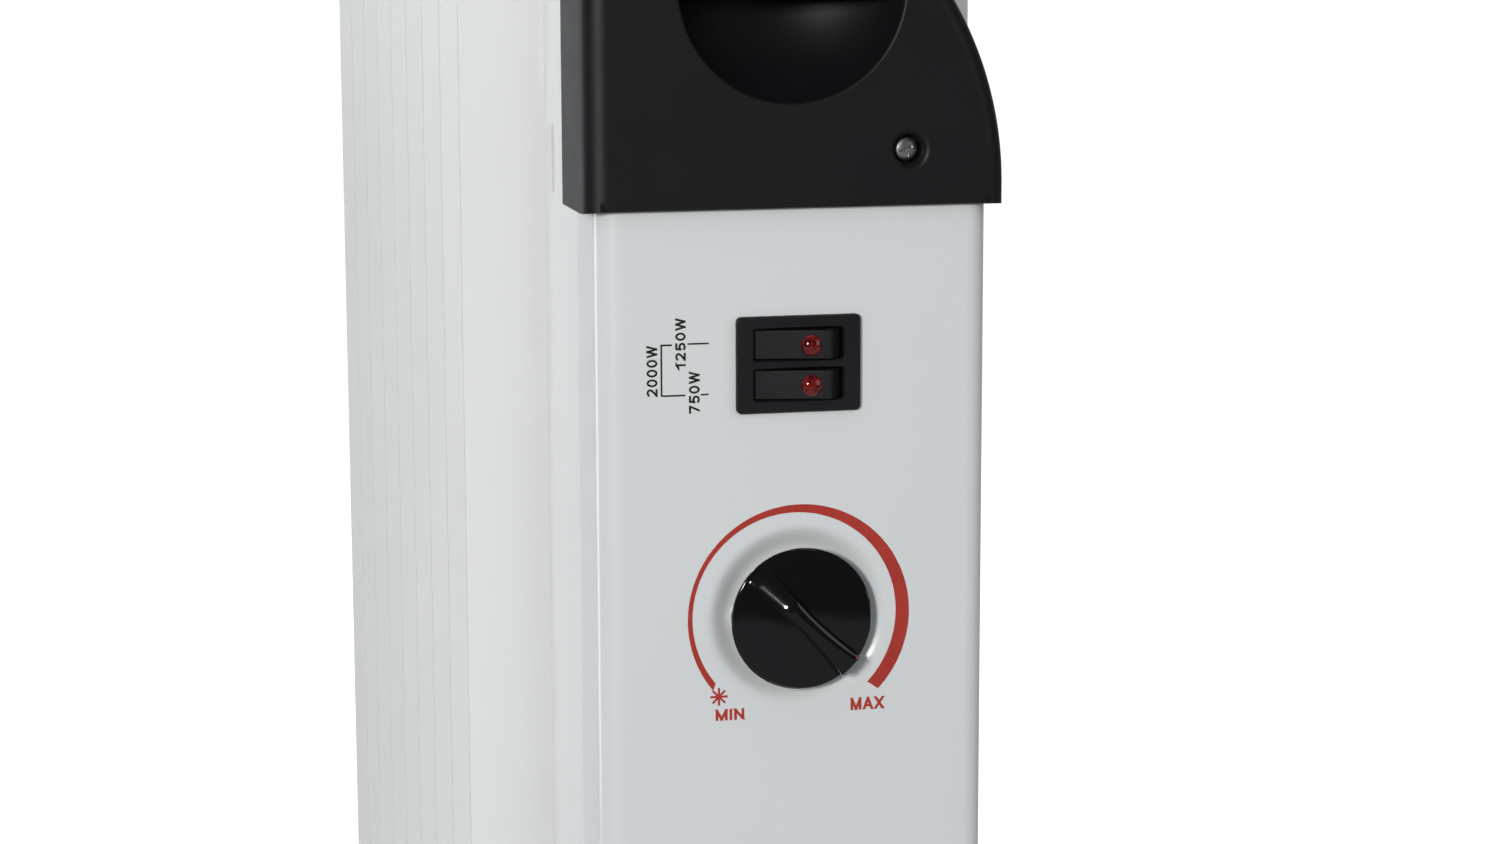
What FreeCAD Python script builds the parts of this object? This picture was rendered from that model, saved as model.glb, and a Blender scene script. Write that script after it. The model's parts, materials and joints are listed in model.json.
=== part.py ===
"""Oil filled radiator heater: nine hollow steel fins on casters with a control box at one end.

Millimetres. +X to the right, +Z up, the control panel faces -Y and the fins follow behind it.
The origin is on the floor, under the middle of the heater's box.
"""
import math
import os
import re

import FreeCAD
import Part
import Sketcher

SIZES = {
    # fins, and the two headers that run through their hubs
    "fin_count": 9,
    "fin_pitch": 37,
    "fin_width": 140,
    "fin_height": 560,
    "fin_corner": 28,
    "fin_sheet": 1.2,
    "channel_depth": 11,
    "channel_width": 24,
    "channel_spacing": 32,
    "channel_round": 4.5,
    "channel_wall": 0.8,
    "header_width": 92,
    "header_tall": 64,
    "header_inset": 45,
    "collar_radius": 27,
    "collar_wall": 3,
    "hub_stub": 4.5,
    "plug_disc": 3,
    "plug_head": 5,
    "plug_head_radius": 15,
    # feet and casters
    "foot_width": 250,
    "foot_depth": 56,
    "foot_sheet": 2,
    "foot_flange": 12,
    "foot_corner": 10,
    "foot_bolt_radius": 2.5,
    "foot_bolt_gap": 0.3,
    "foot_bolt_tail": 15,
    "nut_radius": 5,
    "wing_root": 3,
    "nut_height": 5,
    "wing_reach": 12,
    "wing_sheet": 2.4,
    "wing_rise": 8,
    "caster_spacing": 216,
    "caster_trail": 12,
    "wheel_radius": 22,
    "wheel_width": 9,
    "wheel_round": 2.5,
    "wheel_recess": 2,
    "wheel_rim": 6,
    "wheel_side_gap": 0.6,
    "fork_web": 8,
    "fork_boss_radius": 9,
    "fork_boss_gap": 2,
    "fork_boss_length": 20,
    "fender_gap": 1.6,
    "fender_wall": 2.4,
    "fender_skirt": 8,
    "axle_radius": 3,
    "web_neck": 8,
    "web_rear": 12,
    "web_front": 10,
    "web_crown": 18,
    "web_foot": 7,
    "web_drop": 6,
    "stem_radius": 4,
    "stem_floor": 2,
    "stem_collar_radius": 8,
    "stem_collar": 1.6,
    "stem_head_radius": 7,
    "stem_head": 2.5,
    "swivel_gap": 0.4,
    "running_gap": 0.05,
    # control box
    "box_width": 99,
    "box_depth": 78,
    "box_above_feet": 8,
    "box_corner": 6,
    "rear_corner": 3,
    "front_depth": 27.2,
    "front_wall": 2.2,
    "panel_cut": 12,
    "housing_sheet": 1.2,
    "arc_radius": 84.5,
    "arc_above_cap": 5,
    "lip_length": 5,
    "lip_gap": 0.2,
    "first_fin_gap": 6.5,
    "vent_width": 4.5,
    "vent_depth": 63,
    "vent_below_cap": 0.5,
    "vent_length": 17.5,
    "cover_sheet": 2,
    "cover_gap": 0.3,
    "cover_slot_width": 3,
    "cover_slot_length": 24,
    "cover_slot_pitch": 6.4,
    "cover_slot_count": 5,
    # top cap with its finger scoop
    "cap_overhang": 3.7,
    "cap_proud": 3,
    "cap_wall": 2.5,
    "cap_drop": 81,
    "cap_lap": 6,
    "cap_round": 6,
    "scoop_side": -1.4,
    "scoop_rise": 54.4,
    "scoop_radius": 28.4,
    "scoop_depth": 20,
    "grip_drop": 3,
    "grip_thickness": 9,
    "cap_screw_side": 28,
    "cap_screw_rise": 14.2,
    "cap_screw_well": 3.7,
    "cap_screw_boss": 6,
    "cap_screw_floor": 2,
    "cap_screw_chamfer": 1.6,
    "tongue_depth": 5,
    "tongue_width": 22,
    "tongue_rise": 22,
    "screw_radius": 1.5,
    "screw_head_radius": 3,
    "screw_head": 1.8,
    "screw_length": 12,
    # thermostat and knob
    "knob_side": 0.75,
    "knob_drop": 102,
    "knob_radius": 18,
    "knob_reach": 10,
    "knob_rim": 3.2,
    "knob_seat": 0.8,
    "knob_wall": 2.4,
    "knob_hub": 5.5,
    "knob_waist": 3.8,
    "knob_bar_end": 6.7,
    "knob_mark_angle": -46,
    "dish_margin": 5.3,
    "dish_depth": 3.6,
    "shaft_radius": 3,
    "shaft_hole_gap": 1,
    "shaft_socket": 4,
    "shaft_in_body": 7.5,
    "thermostat_width": 40,
    "thermostat_tall": 30,
    "thermostat_depth": 24,
    "thermostat_gap": 0.2,
    "thermostat_screw_side": 14,
    # twin rocker switch
    "switch_side": 0.5,
    "switch_drop": 38.2,
    "bezel_width": 31.5,
    "bezel_tall": 24.1,
    "bezel_proud": 1.5,
    "bezel_corner": 1.2,
    "switch_body_width": 28,
    "switch_body_tall": 22,
    "switch_body_depth": 22,
    "switch_gap": 0.3,
    "window_width": 22.7,
    "window_tall": 7.8,
    "window_divider": 2.2,
    "window_depth": 20,
    "rocker_end_gap": 0.25,
    "rocker_side_gap": 0.3,
    "rocker_face": 3.6,
    "rocker_rear": 5,
    "rocker_pivot": 1,
    "rocker_tilt": 9.5,
    "trunnion_radius": 1.2,
    "trunnion_reach": 0.9,
    "lens_side": 2.7,
    "lens_radius": 2.7,
    "lens_seat": 3,
    "lens_crown": 1,
    "lamp_radius": 2,
    "lamp_front": 10,
    "lamp_length": 8,
    "blade_width": 4.8,
    "blade_sheet": 0.8,
    "blade_reach": 9,
    "blade_spacing": 9,
    # heating elements, cut-out, tip-over switch and wiring
    "rod_radius": 4,
    "rod_bend": 10,
    "rod_offset": 9,
    "rod_length": 290,
    "rod_tail": 6,
    "flange_thickness": 6,
    "pin_radius": 1.5,
    "pin_reach": 9,
    "opening_gap": 2,
    "bracket_half": 24,
    "bracket_tall": 24,
    "bracket_sheet": 1.5,
    "bracket_inset": 90,
    "bracket_screw_side": 14,
    "cutout_rise": 230,
    "cutout_radius": 8,
    "cutout_length": 12,
    "clip_width": 40,
    "clip_tall": 20,
    "clip_sheet": 1.5,
    "tilt_rise": 102,
    "tilt_depth": 34,
    "tilt_width": 34,
    "tilt_tall": 40,
    "tilt_thickness": 14,
    "tilt_wall": 2,
    "bob_radius": 5,
    "bob_arm": 20,
    "bob_thickness": 6,
    "bob_eye": 3,
    "pivot_inset": 5,
    "pivot_radius": 1.5,
    "block_rise": 162,
    "block_depth": 40,
    "block_width": 36,
    "block_tall": 16,
    "block_thickness": 14,
    "block_well_radius": 3,
    "block_well_depth": 8,
    "gland_side": -30,
    "gland_depth": 56,
    "gland_radius": 8,
    "gland_flange": 10.5,
    "gland_bore": 3.6,
    "gland_up": 10,
    "gland_down": 3,
    "wire_radius": 1.4,
    "wire_bend": 12,
    "wire_set_back": 12,
    "wire_lane_left": -30,
    "wire_lane_right": 34,
    "wire_first_drop": 20,
    "wire_lane_drop": 60,
    "wire_lane_rise": 50,
}

# Places worked out from the sizes. depth_* is measured back from the panel's front face.
PLACES = {
    "fork_boss_bottom": "2*wheel_radius+fork_boss_gap",
    "fork_top": "fork_boss_bottom+fork_boss_length",
    "foot_underside": "fork_top+swivel_gap+stem_collar",
    "fin_foot_height": "foot_underside+foot_sheet",
    "fin_top": "fin_foot_height+fin_height",
    "depth_first_fin": "box_depth+first_fin_gap+channel_depth/2",
    "hub_reach": "channel_depth/2+hub_stub",
    "depth_hub_front": "depth_first_fin-hub_reach",
    "depth_hub_rear": "depth_first_fin+(fin_count-1)*fin_pitch+hub_reach",
    "depth_rear_end": "depth_hub_rear+plug_disc+plug_head",
    "panel_y": "(knob_reach-depth_rear_end)/2",
    "low_header": "fin_foot_height+header_inset",
    "high_header": "fin_foot_height+fin_height-header_inset",
    "collar_bore": "collar_radius-collar_wall",
    "depth_front_foot": "depth_first_fin+fin_pitch/2",
    "depth_rear_foot": "depth_first_fin+(fin_count-1.5)*fin_pitch",
    "bolt_bend": "collar_radius+foot_bolt_radius+foot_bolt_gap",
    "wheel_face": "fork_web/2+wheel_side_gap",
    "wheel_end": "wheel_face+wheel_width",
    "fender_inner": "wheel_radius+fender_gap",
    "fender_outer": "fender_inner+fender_wall",
    "fender_bottom": "wheel_radius+fender_skirt",
    "stem_bottom": "fork_boss_bottom+stem_floor",
    "box_bottom": "fin_foot_height+box_above_feet",
    "cap_bottom": "fin_top-cap_drop",
    "arc_height": "cap_bottom+arc_above_cap",
    "vent_bottom": "cap_bottom-vent_below_cap",
    "scoop_height": "cap_bottom+scoop_rise",
    "cap_screw_height": "cap_bottom+cap_screw_rise",
    "tongue_top": "cap_bottom+tongue_rise",
    "knob_height": "cap_bottom-knob_drop",
    "switch_height": "cap_bottom-switch_drop",
    "bracket_low": "fin_foot_height+bracket_inset",
    "bracket_high": "fin_top-bracket_inset-bracket_tall",
    "cutout_height": "fin_foot_height+cutout_rise",
    "tilt_height": "box_bottom+tilt_rise",
    "block_height": "box_bottom+block_rise",
    "half_box": "box_width/2",
    "half_cap": "half_box+cap_overhang",
    "cap_arc": "arc_radius+cap_overhang",
    "arc_side": "half_box-arc_radius",
    "panel_top": "cap_bottom+cap_lap",
    "scoop_ball": "(scoop_radius^2+scoop_depth^2)/(2*scoop_depth)",
    "depth_scoop": "scoop_depth-cap_proud-scoop_ball",
    "grip_height": "scoop_height-grip_drop",
    "well_floor": "tongue_depth-cap_screw_floor",
    "dish_radius": "knob_radius+dish_margin",
    "dish_ball": "(dish_radius^2+dish_depth^2)/(2*dish_depth)",
    "depth_dish_ball": "dish_depth-dish_ball",
    "thermostat_front": "dish_depth+front_wall+thermostat_gap",
    "thermostat_screw_seat": "dish_depth-thermostat_screw_side^2/(2*dish_ball)+0.3",
    "cheek_sag": "(knob_bar_end-knob_waist)/2",
    "cheek_radius": "((knob_radius-1)^2+cheek_sag^2)/(2*cheek_sag)",
    "flange_front": "depth_hub_front-flange_thickness",
    "rod_front": "flange_front-rod_tail",
    "fin_face": "depth_first_fin-channel_depth/2",
    "window_pitch": "window_tall+window_divider",
    "rocker_swing": "window_width/2-rocker_end_gap",
    "rocker_tall": "window_tall-2*rocker_side_gap",
    "lens_ball": "(lens_radius^2+lens_crown^2)/(2*lens_crown)",
}

NAME = re.compile(r"[a-z][a-z_0-9]*")
NODES = []

doc = FreeCAD.newDocument("oil_filled_radiator")
dims = doc.addObject("Spreadsheet::Sheet", "dims")
ruler = doc.addObject("App::FeaturePython", "ruler")
ruler.addProperty("App::PropertyFloat", "reading")

X_AXIS = FreeCAD.Vector(1, 0, 0)
Y_AXIS = FreeCAD.Vector(0, 1, 0)
Z_AXIS = FreeCAD.Vector(0, 0, 1)
UPRIGHT = FreeCAD.Rotation()
BACKWARD = FreeCAD.Rotation(X_AXIS, -90)
SIDEWAYS = FreeCAD.Rotation(Y_AXIS, 90)


def enter_sizes():
    for row, (alias, value) in enumerate(SIZES.items(), start=1):
        dims.set(f"A{row}", str(value))
        dims.setAlias(f"A{row}", alias)
    doc.recompute()


def formula(text):
    """The sheet's own expression for a formula written in the names above."""
    def swap(found):
        word = found.group()
        if word in PLACES:
            return f"({formula(PLACES[word])})"
        return f"dims.{word}" if word in SIZES else word
    return NAME.sub(swap, str(text))


def measure(text):
    """The number that a formula comes to now."""
    ruler.setExpression("reading", formula(text))
    ruler.recompute()
    return ruler.reading


def behind(depth):
    """Y of a point at this depth behind the panel's front face."""
    return f"panel_y+({depth})"


def place(piece, spot, turn=UPRIGHT):
    piece.Placement = FreeCAD.Placement(FreeCAD.Vector(), turn)
    for letter, where in zip("xyz", spot):
        piece.setExpression(f"Placement.Base.{letter}", formula(where))
    return piece


def block(name, across, back, up):
    """A box between two formulas on each axis."""
    piece = doc.addObject("Part::Box", name)
    for size, (low, high) in zip(("Length", "Width", "Height"), (across, back, up)):
        piece.setExpression(size, formula(f"({high})-({low})"))
    return place(piece, (across[0], back[0], up[0]))


def rod(name, spot, radius, length, turn=UPRIGHT):
    piece = doc.addObject("Part::Cylinder", name)
    piece.setExpression("Radius", formula(radius))
    piece.setExpression("Height", formula(length))
    return place(piece, spot, turn)


def ball(name, spot, radius):
    piece = doc.addObject("Part::Sphere", name)
    piece.setExpression("Radius", formula(radius))
    return place(piece, spot)


def cone(name, spot, start, end, length, turn=UPRIGHT):
    piece = doc.addObject("Part::Cone", name)
    piece.setExpression("Radius1", formula(start))
    piece.setExpression("Radius2", formula(end))
    piece.setExpression("Height", formula(length))
    return place(piece, spot, turn)


def joined(name, pieces):
    piece = doc.addObject("Part::MultiFuse", name)
    piece.Shapes = pieces
    return piece


def shared(name, first, second):
    piece = doc.addObject("Part::Common", name)
    piece.Base = first
    piece.Tool = second
    piece.Refine = False
    return piece


def trimmed(name, base, tools):
    piece = doc.addObject("Part::Cut", name)
    piece.Base = base
    piece.Tool = tools[0] if len(tools) == 1 else joined(f"{name}_tools", tools)
    return piece


def rounded(name, base, radius, chosen):
    """Fillets the edges of base that the test picks out."""
    doc.recompute()
    size = measure(radius)
    edges = [(number, size, size) for number, edge in enumerate(base.Shape.Edges, start=1) if chosen(edge)]
    piece = doc.addObject("Part::Fillet", name)
    piece.Base = base
    piece.Edges = edges
    return piece


def group(name, pieces):
    piece = doc.addObject("Part::Compound", name)
    piece.Links = pieces
    return piece


def node(label, piece):
    """Marks a piece as a finished sub-part, written out under this name."""
    piece.Label = label
    NODES.append(piece)
    return piece


def runs_along(axis):
    """A test for straight edges in one direction."""
    def test(edge):
        if not isinstance(edge.Curve, Part.Line):
            return False
        return abs(edge.Curve.Direction.dot(axis)) > 0.999
    return test


def at(letter, where):
    """A test for edges that lie in one plane, such as at("y", depth)."""
    level = measure(where)

    def test(edge):
        box = edge.BoundBox
        low, high = getattr(box, f"{letter.upper()}Min"), getattr(box, f"{letter.upper()}Max")
        return abs(low - level) < 0.01 and abs(high - level) < 0.01
    return test


def outline(body, name, plane, corners):
    """A closed sketch of straight lines whose corners are bound to the sheet."""

    sketch = body.newObject("Sketcher::SketchObject", name)
    planes = {feature.Role: feature for feature in body.Origin.OriginFeatures}
    sketch.AttachmentSupport = [(planes[plane], "")]
    sketch.MapMode = "FlatFace"
    spots = [FreeCAD.Vector(measure(across), measure(up), 0) for across, up in corners]
    for start, end in zip(spots, spots[1:] + spots[:1]):
        sketch.addGeometry(Part.LineSegment(start, end), False)
    for number, (across, up) in enumerate(corners):
        previous = (number - 1) % len(corners)
        sketch.addConstraint(Sketcher.Constraint("Coincident", previous, 2, number, 1))
        for kind, bound, value in (("DistanceX", across, spots[number].x), ("DistanceY", up, spots[number].y)):
            index = sketch.addConstraint(Sketcher.Constraint(kind, number, 1, value))
            sketch.setExpression(f"Constraints[{index}]", formula(bound))
    return sketch


def turned(name, plane, axis, corners):
    """A body turned about one of the sketch's axes."""
    body = doc.addObject("PartDesign::Body", name)
    sketch = outline(body, f"{name}_profile", plane, corners)
    turn = body.newObject("PartDesign::Revolution", f"{name}_turn")
    turn.Profile = sketch
    turn.ReferenceAxis = (sketch, [axis])
    turn.Angle = 360
    body.Tip = turn
    return body


def padded(name, plane, corners, length):
    """A body raised evenly to both sides of its sketch."""
    body = doc.addObject("PartDesign::Body", name)
    sketch = outline(body, f"{name}_profile", plane, corners)
    pad = body.newObject("PartDesign::Pad", f"{name}_pad")
    pad.Profile = sketch
    pad.Midplane = True
    pad.setExpression("Length", formula(length))
    body.Tip = pad
    return body


def wire(name, corners, radius, bend):
    """A round wire through the corners: straight runs joined by tangent arcs."""
    spots = [FreeCAD.Vector(*(measure(value) for value in corner)) for corner in corners]
    edges = []
    last = spots[0]
    for before, corner, after in zip(spots, spots[1:], spots[2:]):
        inward = (before - corner).normalize()
        outward = (after - corner).normalize()
        half_turn = (math.pi - inward.getAngle(outward)) / 2
        reach = measure(bend) * math.tan(half_turn)
        start = corner + inward * reach
        end = corner + outward * reach
        middle_way = (inward + outward).normalize()
        middle = corner + middle_way * (measure(bend) / math.cos(half_turn) - measure(bend))
        edges.append(Part.LineSegment(last, start).toShape())
        edges.append(Part.Arc(start, middle, end).toShape())
        last = end
    edges.append(Part.LineSegment(last, spots[-1]).toShape())
    path = Part.Wire(edges)
    section = Part.Wire(Part.Circle(spots[0], spots[1] - spots[0], measure(radius)).toShape())
    piece = doc.addObject("Part::Feature", name)
    piece.Shape = path.makePipeShell([section], True, False)
    return piece


def fin_blank():
    """The plate and its pressed channels as one solid, and the oil space inside it."""
    half_width = "fin_width/2"
    plate = block("fin_plate", (f"-{half_width}", half_width), ("-fin_sheet/2", "fin_sheet/2"),
                  ("fin_foot_height", "fin_foot_height+fin_height"))
    pressed = [rounded("fin_plate_round", plate, "fin_corner", runs_along(Y_AXIS))]
    hollows = []
    for inset, found in (("0", pressed), ("channel_wall", hollows)):
        kind = "bulge" if found is pressed else "hollow"
        half_depth = f"channel_depth/2-{inset}"
        for header in ("low_header", "high_header"):
            tank = block(f"{kind}_{header}", (f"-header_width/2+{inset}", f"header_width/2-{inset}"),
                         (f"-({half_depth})", half_depth),
                         (f"{header}-header_tall/2+{inset}", f"{header}+header_tall/2-{inset}"))
            found.append(rounded(f"{kind}_{header}_round", tank, f"channel_round-{inset}", lambda edge: True))
        for side in (-1, 0, 1):
            middle = f"{side}*channel_spacing"
            channel = block(f"{kind}_channel_{side + 2}",
                            (f"{middle}-channel_width/2+{inset}", f"{middle}+channel_width/2-{inset}"),
                            (f"-({half_depth})", half_depth), ("low_header", "high_header"))
            found.append(rounded(f"{kind}_channel_{side + 2}_round", channel, f"channel_round-{inset}",
                                 runs_along(Z_AXIS)))
    return joined("fin_pressing", pressed), joined("fin_oil_space", hollows)


def fins():
    """A row of equal hollow fins, each with a hub hole into both headers."""
    pressing, oil_space = fin_blank()
    for number in range(1, SIZES["fin_count"] + 1):
        name = f"fin_{number:02d}"
        bores = [rod(f"{name}_{header}_bore", ("0", "-channel_depth/2-1", header), "collar_bore", "channel_depth+2",
                     BACKWARD) for header in ("low_header", "high_header")]
        fin = trimmed(f"{name}_shell", pressing, [oil_space] + bores)
        place(fin, ("0", behind(f"depth_first_fin+{number - 1}*fin_pitch"), "0"))
        node(name, fin)


def header_collars(label, header):
    """The short tubes that join the fins' hubs into one header, and a stub at each end of the row."""
    count = SIZES["fin_count"]
    tubes = []
    for number in range(count + 1):
        start = "depth_hub_front" if number == 0 else f"fin_face+{number - 1}*fin_pitch+channel_depth"
        length = "hub_stub" if number in (0, count) else "fin_pitch-channel_depth"
        spot = ("0", behind(start), header)
        tube = rod(f"{label}_tube_{number}", spot, "collar_radius", length, BACKWARD)
        bore = rod(f"{label}_bore_{number}", spot, "collar_bore", length, BACKWARD)
        tubes.append(trimmed(f"{label}_{number}", tube, [bore]))
    node(label, group(f"{label}_row", tubes))


def header_plugs():
    """Discs welded over three of the headers' ends, each with a hexagon; the element closes the fourth."""
    plugs = []
    for name, header, face, outward in (("front", "high_header", "depth_hub_front", -1),
                                        ("fill", "high_header", "depth_hub_rear", 1),
                                        ("drain", "low_header", "depth_hub_rear", 1)):
        disc_start = face if outward > 0 else f"{face}-plug_disc"
        head_start = f"{face}+plug_disc" if outward > 0 else f"{face}-plug_disc-plug_head"
        disc = rod(f"{name}_plug_disc", ("0", behind(disc_start), header), "collar_radius", "plug_disc", BACKWARD)
        head = doc.addObject("Part::Prism", f"{name}_plug_head")
        head.Polygon = 6
        head.setExpression("Circumradius", formula("plug_head_radius"))
        head.setExpression("Height", formula("plug_head"))
        place(head, ("0", behind(head_start), header), BACKWARD)
        plugs.append(joined(f"{name}_plug", [disc, head]))
    node("header_plugs", group("plug_set", plugs))


def heating_element(label, side):
    """A hairpin of round rod in the lower header; side is 1 above its middle and -1 below."""
    level = f"low_header+{side}*rod_offset"
    legs = [rod(f"{label}_leg_{leg + 2}", (f"{leg}*rod_bend", behind("rod_front"), level), "rod_radius",
                "rod_tail+flange_thickness+rod_length", BACKWARD) for leg in (-1, 1)]
    bend = doc.addObject("Part::Torus", f"{label}_bend")
    bend.setExpression("Radius1", formula("rod_bend"))
    bend.setExpression("Radius2", formula("rod_radius"))
    bend.Angle3 = 180
    place(bend, ("0", behind("depth_hub_front+rod_length"), level))
    node(label, joined(f"{label}_whole", legs + [bend]))


def element_mount():
    """The flange that closes the lower header, and the four cold pins in front of it."""
    disc = rod("flange_disc", ("0", behind("flange_front"), "low_header"), "collar_radius-1",
               "flange_thickness", BACKWARD)
    holes, pins = [], []
    for across in (-1, 1):
        for up in (-1, 1):
            spot = (f"{across}*rod_bend", f"low_header+{up}*rod_offset")
            holes.append(rod(f"flange_hole_{across + 2}_{up + 2}", (spot[0], behind("flange_front"), spot[1]),
                             "rod_radius", "flange_thickness", BACKWARD))
            pins.append(rod(f"cold_pin_{across + 2}_{up + 2}", (spot[0], behind("rod_front-pin_reach"), spot[1]),
                            "pin_radius", "pin_reach", BACKWARD))
    node("element_flange", trimmed("flange_whole", disc, holes))
    node("element_terminals", group("cold_pins", pins))


def arched(name, inset, radius, depths, bottom):
    """The box's section: a slab whose right side and top are one arc, inset from the box's sides."""
    half = f"half_box-({inset})"
    sides = (f"-({half})", half)
    lower = block(f"{name}_lower", sides, depths, (bottom, "arc_height"))
    upper = block(f"{name}_upper", sides, depths, ("arc_height", f"arc_height+({radius})"))
    arc = rod(f"{name}_arc", ("arc_side", depths[0], "arc_height"), radius, f"({depths[1]})-({depths[0]})", BACKWARD)
    return joined(f"{name}_section", [lower, shared(f"{name}_crown", upper, arc)])


def rear_housing():
    depths = (behind("front_depth"), behind("box_depth"))
    solid = arched("housing_outside", "0", "arc_radius", depths, "box_bottom")
    rear_edge = at("y", behind("box_depth"))
    bottom_edge = at("z", "box_bottom")
    solid = rounded("housing_round", solid, "rear_corner", lambda edge: rear_edge(edge) and not bottom_edge(edge))
    space = arched("housing_inside", "housing_sheet", "arc_radius-housing_sheet",
                   (behind("front_depth"), behind("box_depth-housing_sheet")), "box_bottom-1")
    wall = (behind("box_depth-housing_sheet-1"), "housing_sheet+2")
    holes = [
        rod("flange_opening", ("0", wall[0], "low_header"), "collar_radius+opening_gap", wall[1], BACKWARD),
        rod("plug_opening", ("0", wall[0], "high_header"), "collar_radius+opening_gap", wall[1], BACKWARD),
        rod("cutout_opening", ("0", wall[0], "cutout_height"), "cutout_radius+opening_gap", wall[1], BACKWARD),
        block("vent_slot", ("-half_box-1", "half_box+1"),
              (behind("vent_depth-vent_width/2"), behind("vent_depth+vent_width/2")),
              ("vent_bottom", "vent_bottom+vent_length")),
    ]
    for level in ("bracket_low", "bracket_high"):
        for side in (-1, 1):
            spot = (f"{side}*bracket_screw_side", wall[0], f"{level}+bracket_tall/2")
            holes.append(rod(f"{level}_hole_{side + 2}", spot, "screw_radius", wall[1], BACKWARD))
    node("rear_housing", trimmed("housing_whole", solid, [space] + holes))


def front_panel():
    """The front shell: a deep tray with a dished knob seat, a lip inside the housing and a screw tongue."""
    sides = ("-half_box", "half_box")
    tray = block("panel_tray", sides, (behind("0"), behind("front_depth")), ("box_bottom", "panel_top"))
    front_edge = at("y", behind("0"))
    top_edge = at("z", "panel_top")
    tray = rounded("panel_round", tray, "box_corner", lambda edge: front_edge(edge) and not top_edge(edge))
    lip_half = "half_box-housing_sheet-lip_gap"
    lip = block("panel_lip", (f"-({lip_half})", lip_half),
                (behind("front_depth"), behind("front_depth+lip_length")), ("box_bottom", "cap_bottom"))
    inner_half = "half_box-front_wall"
    space = block("panel_space", (f"-({inner_half})", inner_half),
                  (behind("front_wall"), behind("front_depth+lip_length+1")),
                  ("box_bottom+front_wall", "panel_top+1"))
    inner_edge = at("y", behind("front_wall"))
    inner_top = at("z", "panel_top+1")
    space = rounded("panel_space_round", space, "box_corner-front_wall",
                    lambda edge: inner_edge(edge) and not inner_top(edge))
    shell = trimmed("panel_shell", joined("panel_solid", [tray, lip]), [space])
    knob_spot = ("knob_side", behind("depth_dish_ball"), "knob_height")
    bowl = shared("dish_bowl", ball("dish_back", knob_spot, "dish_ball+front_wall"),
                  rod("dish_limit", ("knob_side", behind("0"), "knob_height"), "dish_radius+front_wall",
                      "dish_depth+front_wall+1", BACKWARD))
    screw_side = "cap_screw_side-tongue_width/2"
    tongue = block("panel_tongue", (screw_side, f"{screw_side}+tongue_width"),
                   (behind("tongue_depth"), behind("tongue_depth+front_wall")), ("cap_bottom", "tongue_top"))
    shelf = block("tongue_shelf", (screw_side, f"{screw_side}+tongue_width"),
                  (behind("front_wall"), behind("tongue_depth+front_wall")), ("cap_bottom-front_wall", "cap_bottom"))
    boss = rod("tongue_boss", ("cap_screw_side", behind("tongue_depth"), "cap_screw_height"), "cap_screw_boss-1.5",
               "front_wall+screw_length/2", BACKWARD)
    switch_half = "switch_body_width/2+switch_gap"
    switch_rise = "switch_body_tall/2+switch_gap"
    cuts = [
        ball("dish_hollow", knob_spot, "dish_ball"),
        rod("shaft_opening", ("knob_side", behind("-1"), "knob_height"), "shaft_radius+shaft_hole_gap",
            "panel_cut", BACKWARD),
        rod("tongue_hole", ("cap_screw_side", behind("tongue_depth-1"), "cap_screw_height"), "screw_radius",
            "screw_length+6", BACKWARD),
        block("switch_opening", (f"switch_side-({switch_half})", f"switch_side+{switch_half}"),
              (behind("-1"), behind("front_wall+1")),
              (f"switch_height-({switch_rise})", f"switch_height+{switch_rise}")),
    ]
    for side in (-1, 1):
        across = f"knob_side+{side}*thermostat_screw_side"
        cuts.append(rod(f"thermostat_hole_{side + 2}", (across, behind("-1"), "knob_height"), "screw_radius",
                        "panel_cut", BACKWARD))
        cuts.append(rod(f"thermostat_well_{side + 2}", (across, behind("-1"), "knob_height"),
                        "screw_head_radius+0.2", "thermostat_screw_seat+1", BACKWARD))
    node("front_panel", trimmed("panel_whole", joined("panel_built", [shell, bowl, tongue, shelf, boss]), cuts))


def top_cap():
    """A D-shaped hood over the box's top, with a ball-shaped finger scoop that rises behind its grip."""
    depths = (behind("-cap_proud"), behind("front_depth"))
    solid = arched("cap_outside", "-cap_overhang", "cap_arc", depths, "cap_bottom")
    front_edge = at("y", depths[0])
    bottom_edge = at("z", "cap_bottom")
    solid = rounded("cap_round", solid, "cap_round", lambda edge: front_edge(edge) and not bottom_edge(edge))
    space = arched("cap_inside", "cap_wall-cap_overhang", "cap_arc-cap_wall",
                   (behind("cap_wall-cap_proud"), behind("front_depth+1")), "cap_bottom-1")
    hood = trimmed("cap_hood", solid, [space])
    scoop_spot = ("scoop_side", behind("depth_scoop"), "scoop_height")
    bowl = shared("scoop_wall", ball("scoop_back", scoop_spot, "scoop_ball+cap_wall"), solid)
    grip = block("grip_bar", ("-half_cap", "half_cap"), (behind("-cap_proud-1"), behind("grip_thickness-cap_proud")),
                 ("grip_height", "arc_height+cap_arc"))
    hollow = trimmed("scoop_hollow", ball("scoop_ball", scoop_spot, "scoop_ball"), [grip])
    screw_spot = ("cap_screw_side", behind("-cap_proud"), "cap_screw_height")
    boss = shared("cap_boss", solid, rod("cap_boss_rod", screw_spot, "cap_screw_boss", "tongue_depth+cap_proud",
                                         BACKWARD))
    well = rod("cap_well", screw_spot, "cap_screw_well", "well_floor+cap_proud", BACKWARD)
    mouth = cone("cap_well_mouth", screw_spot, "cap_screw_well+cap_screw_chamfer", "cap_screw_well",
                 "cap_screw_chamfer/2", BACKWARD)
    hole = rod("cap_screw_hole", screw_spot, "screw_radius+0.2", "tongue_depth+cap_proud+1", BACKWARD)
    node("top_cap", trimmed("cap_whole", joined("cap_built", [hood, bowl, boss]), [hollow, well, mouth, hole]))


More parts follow.
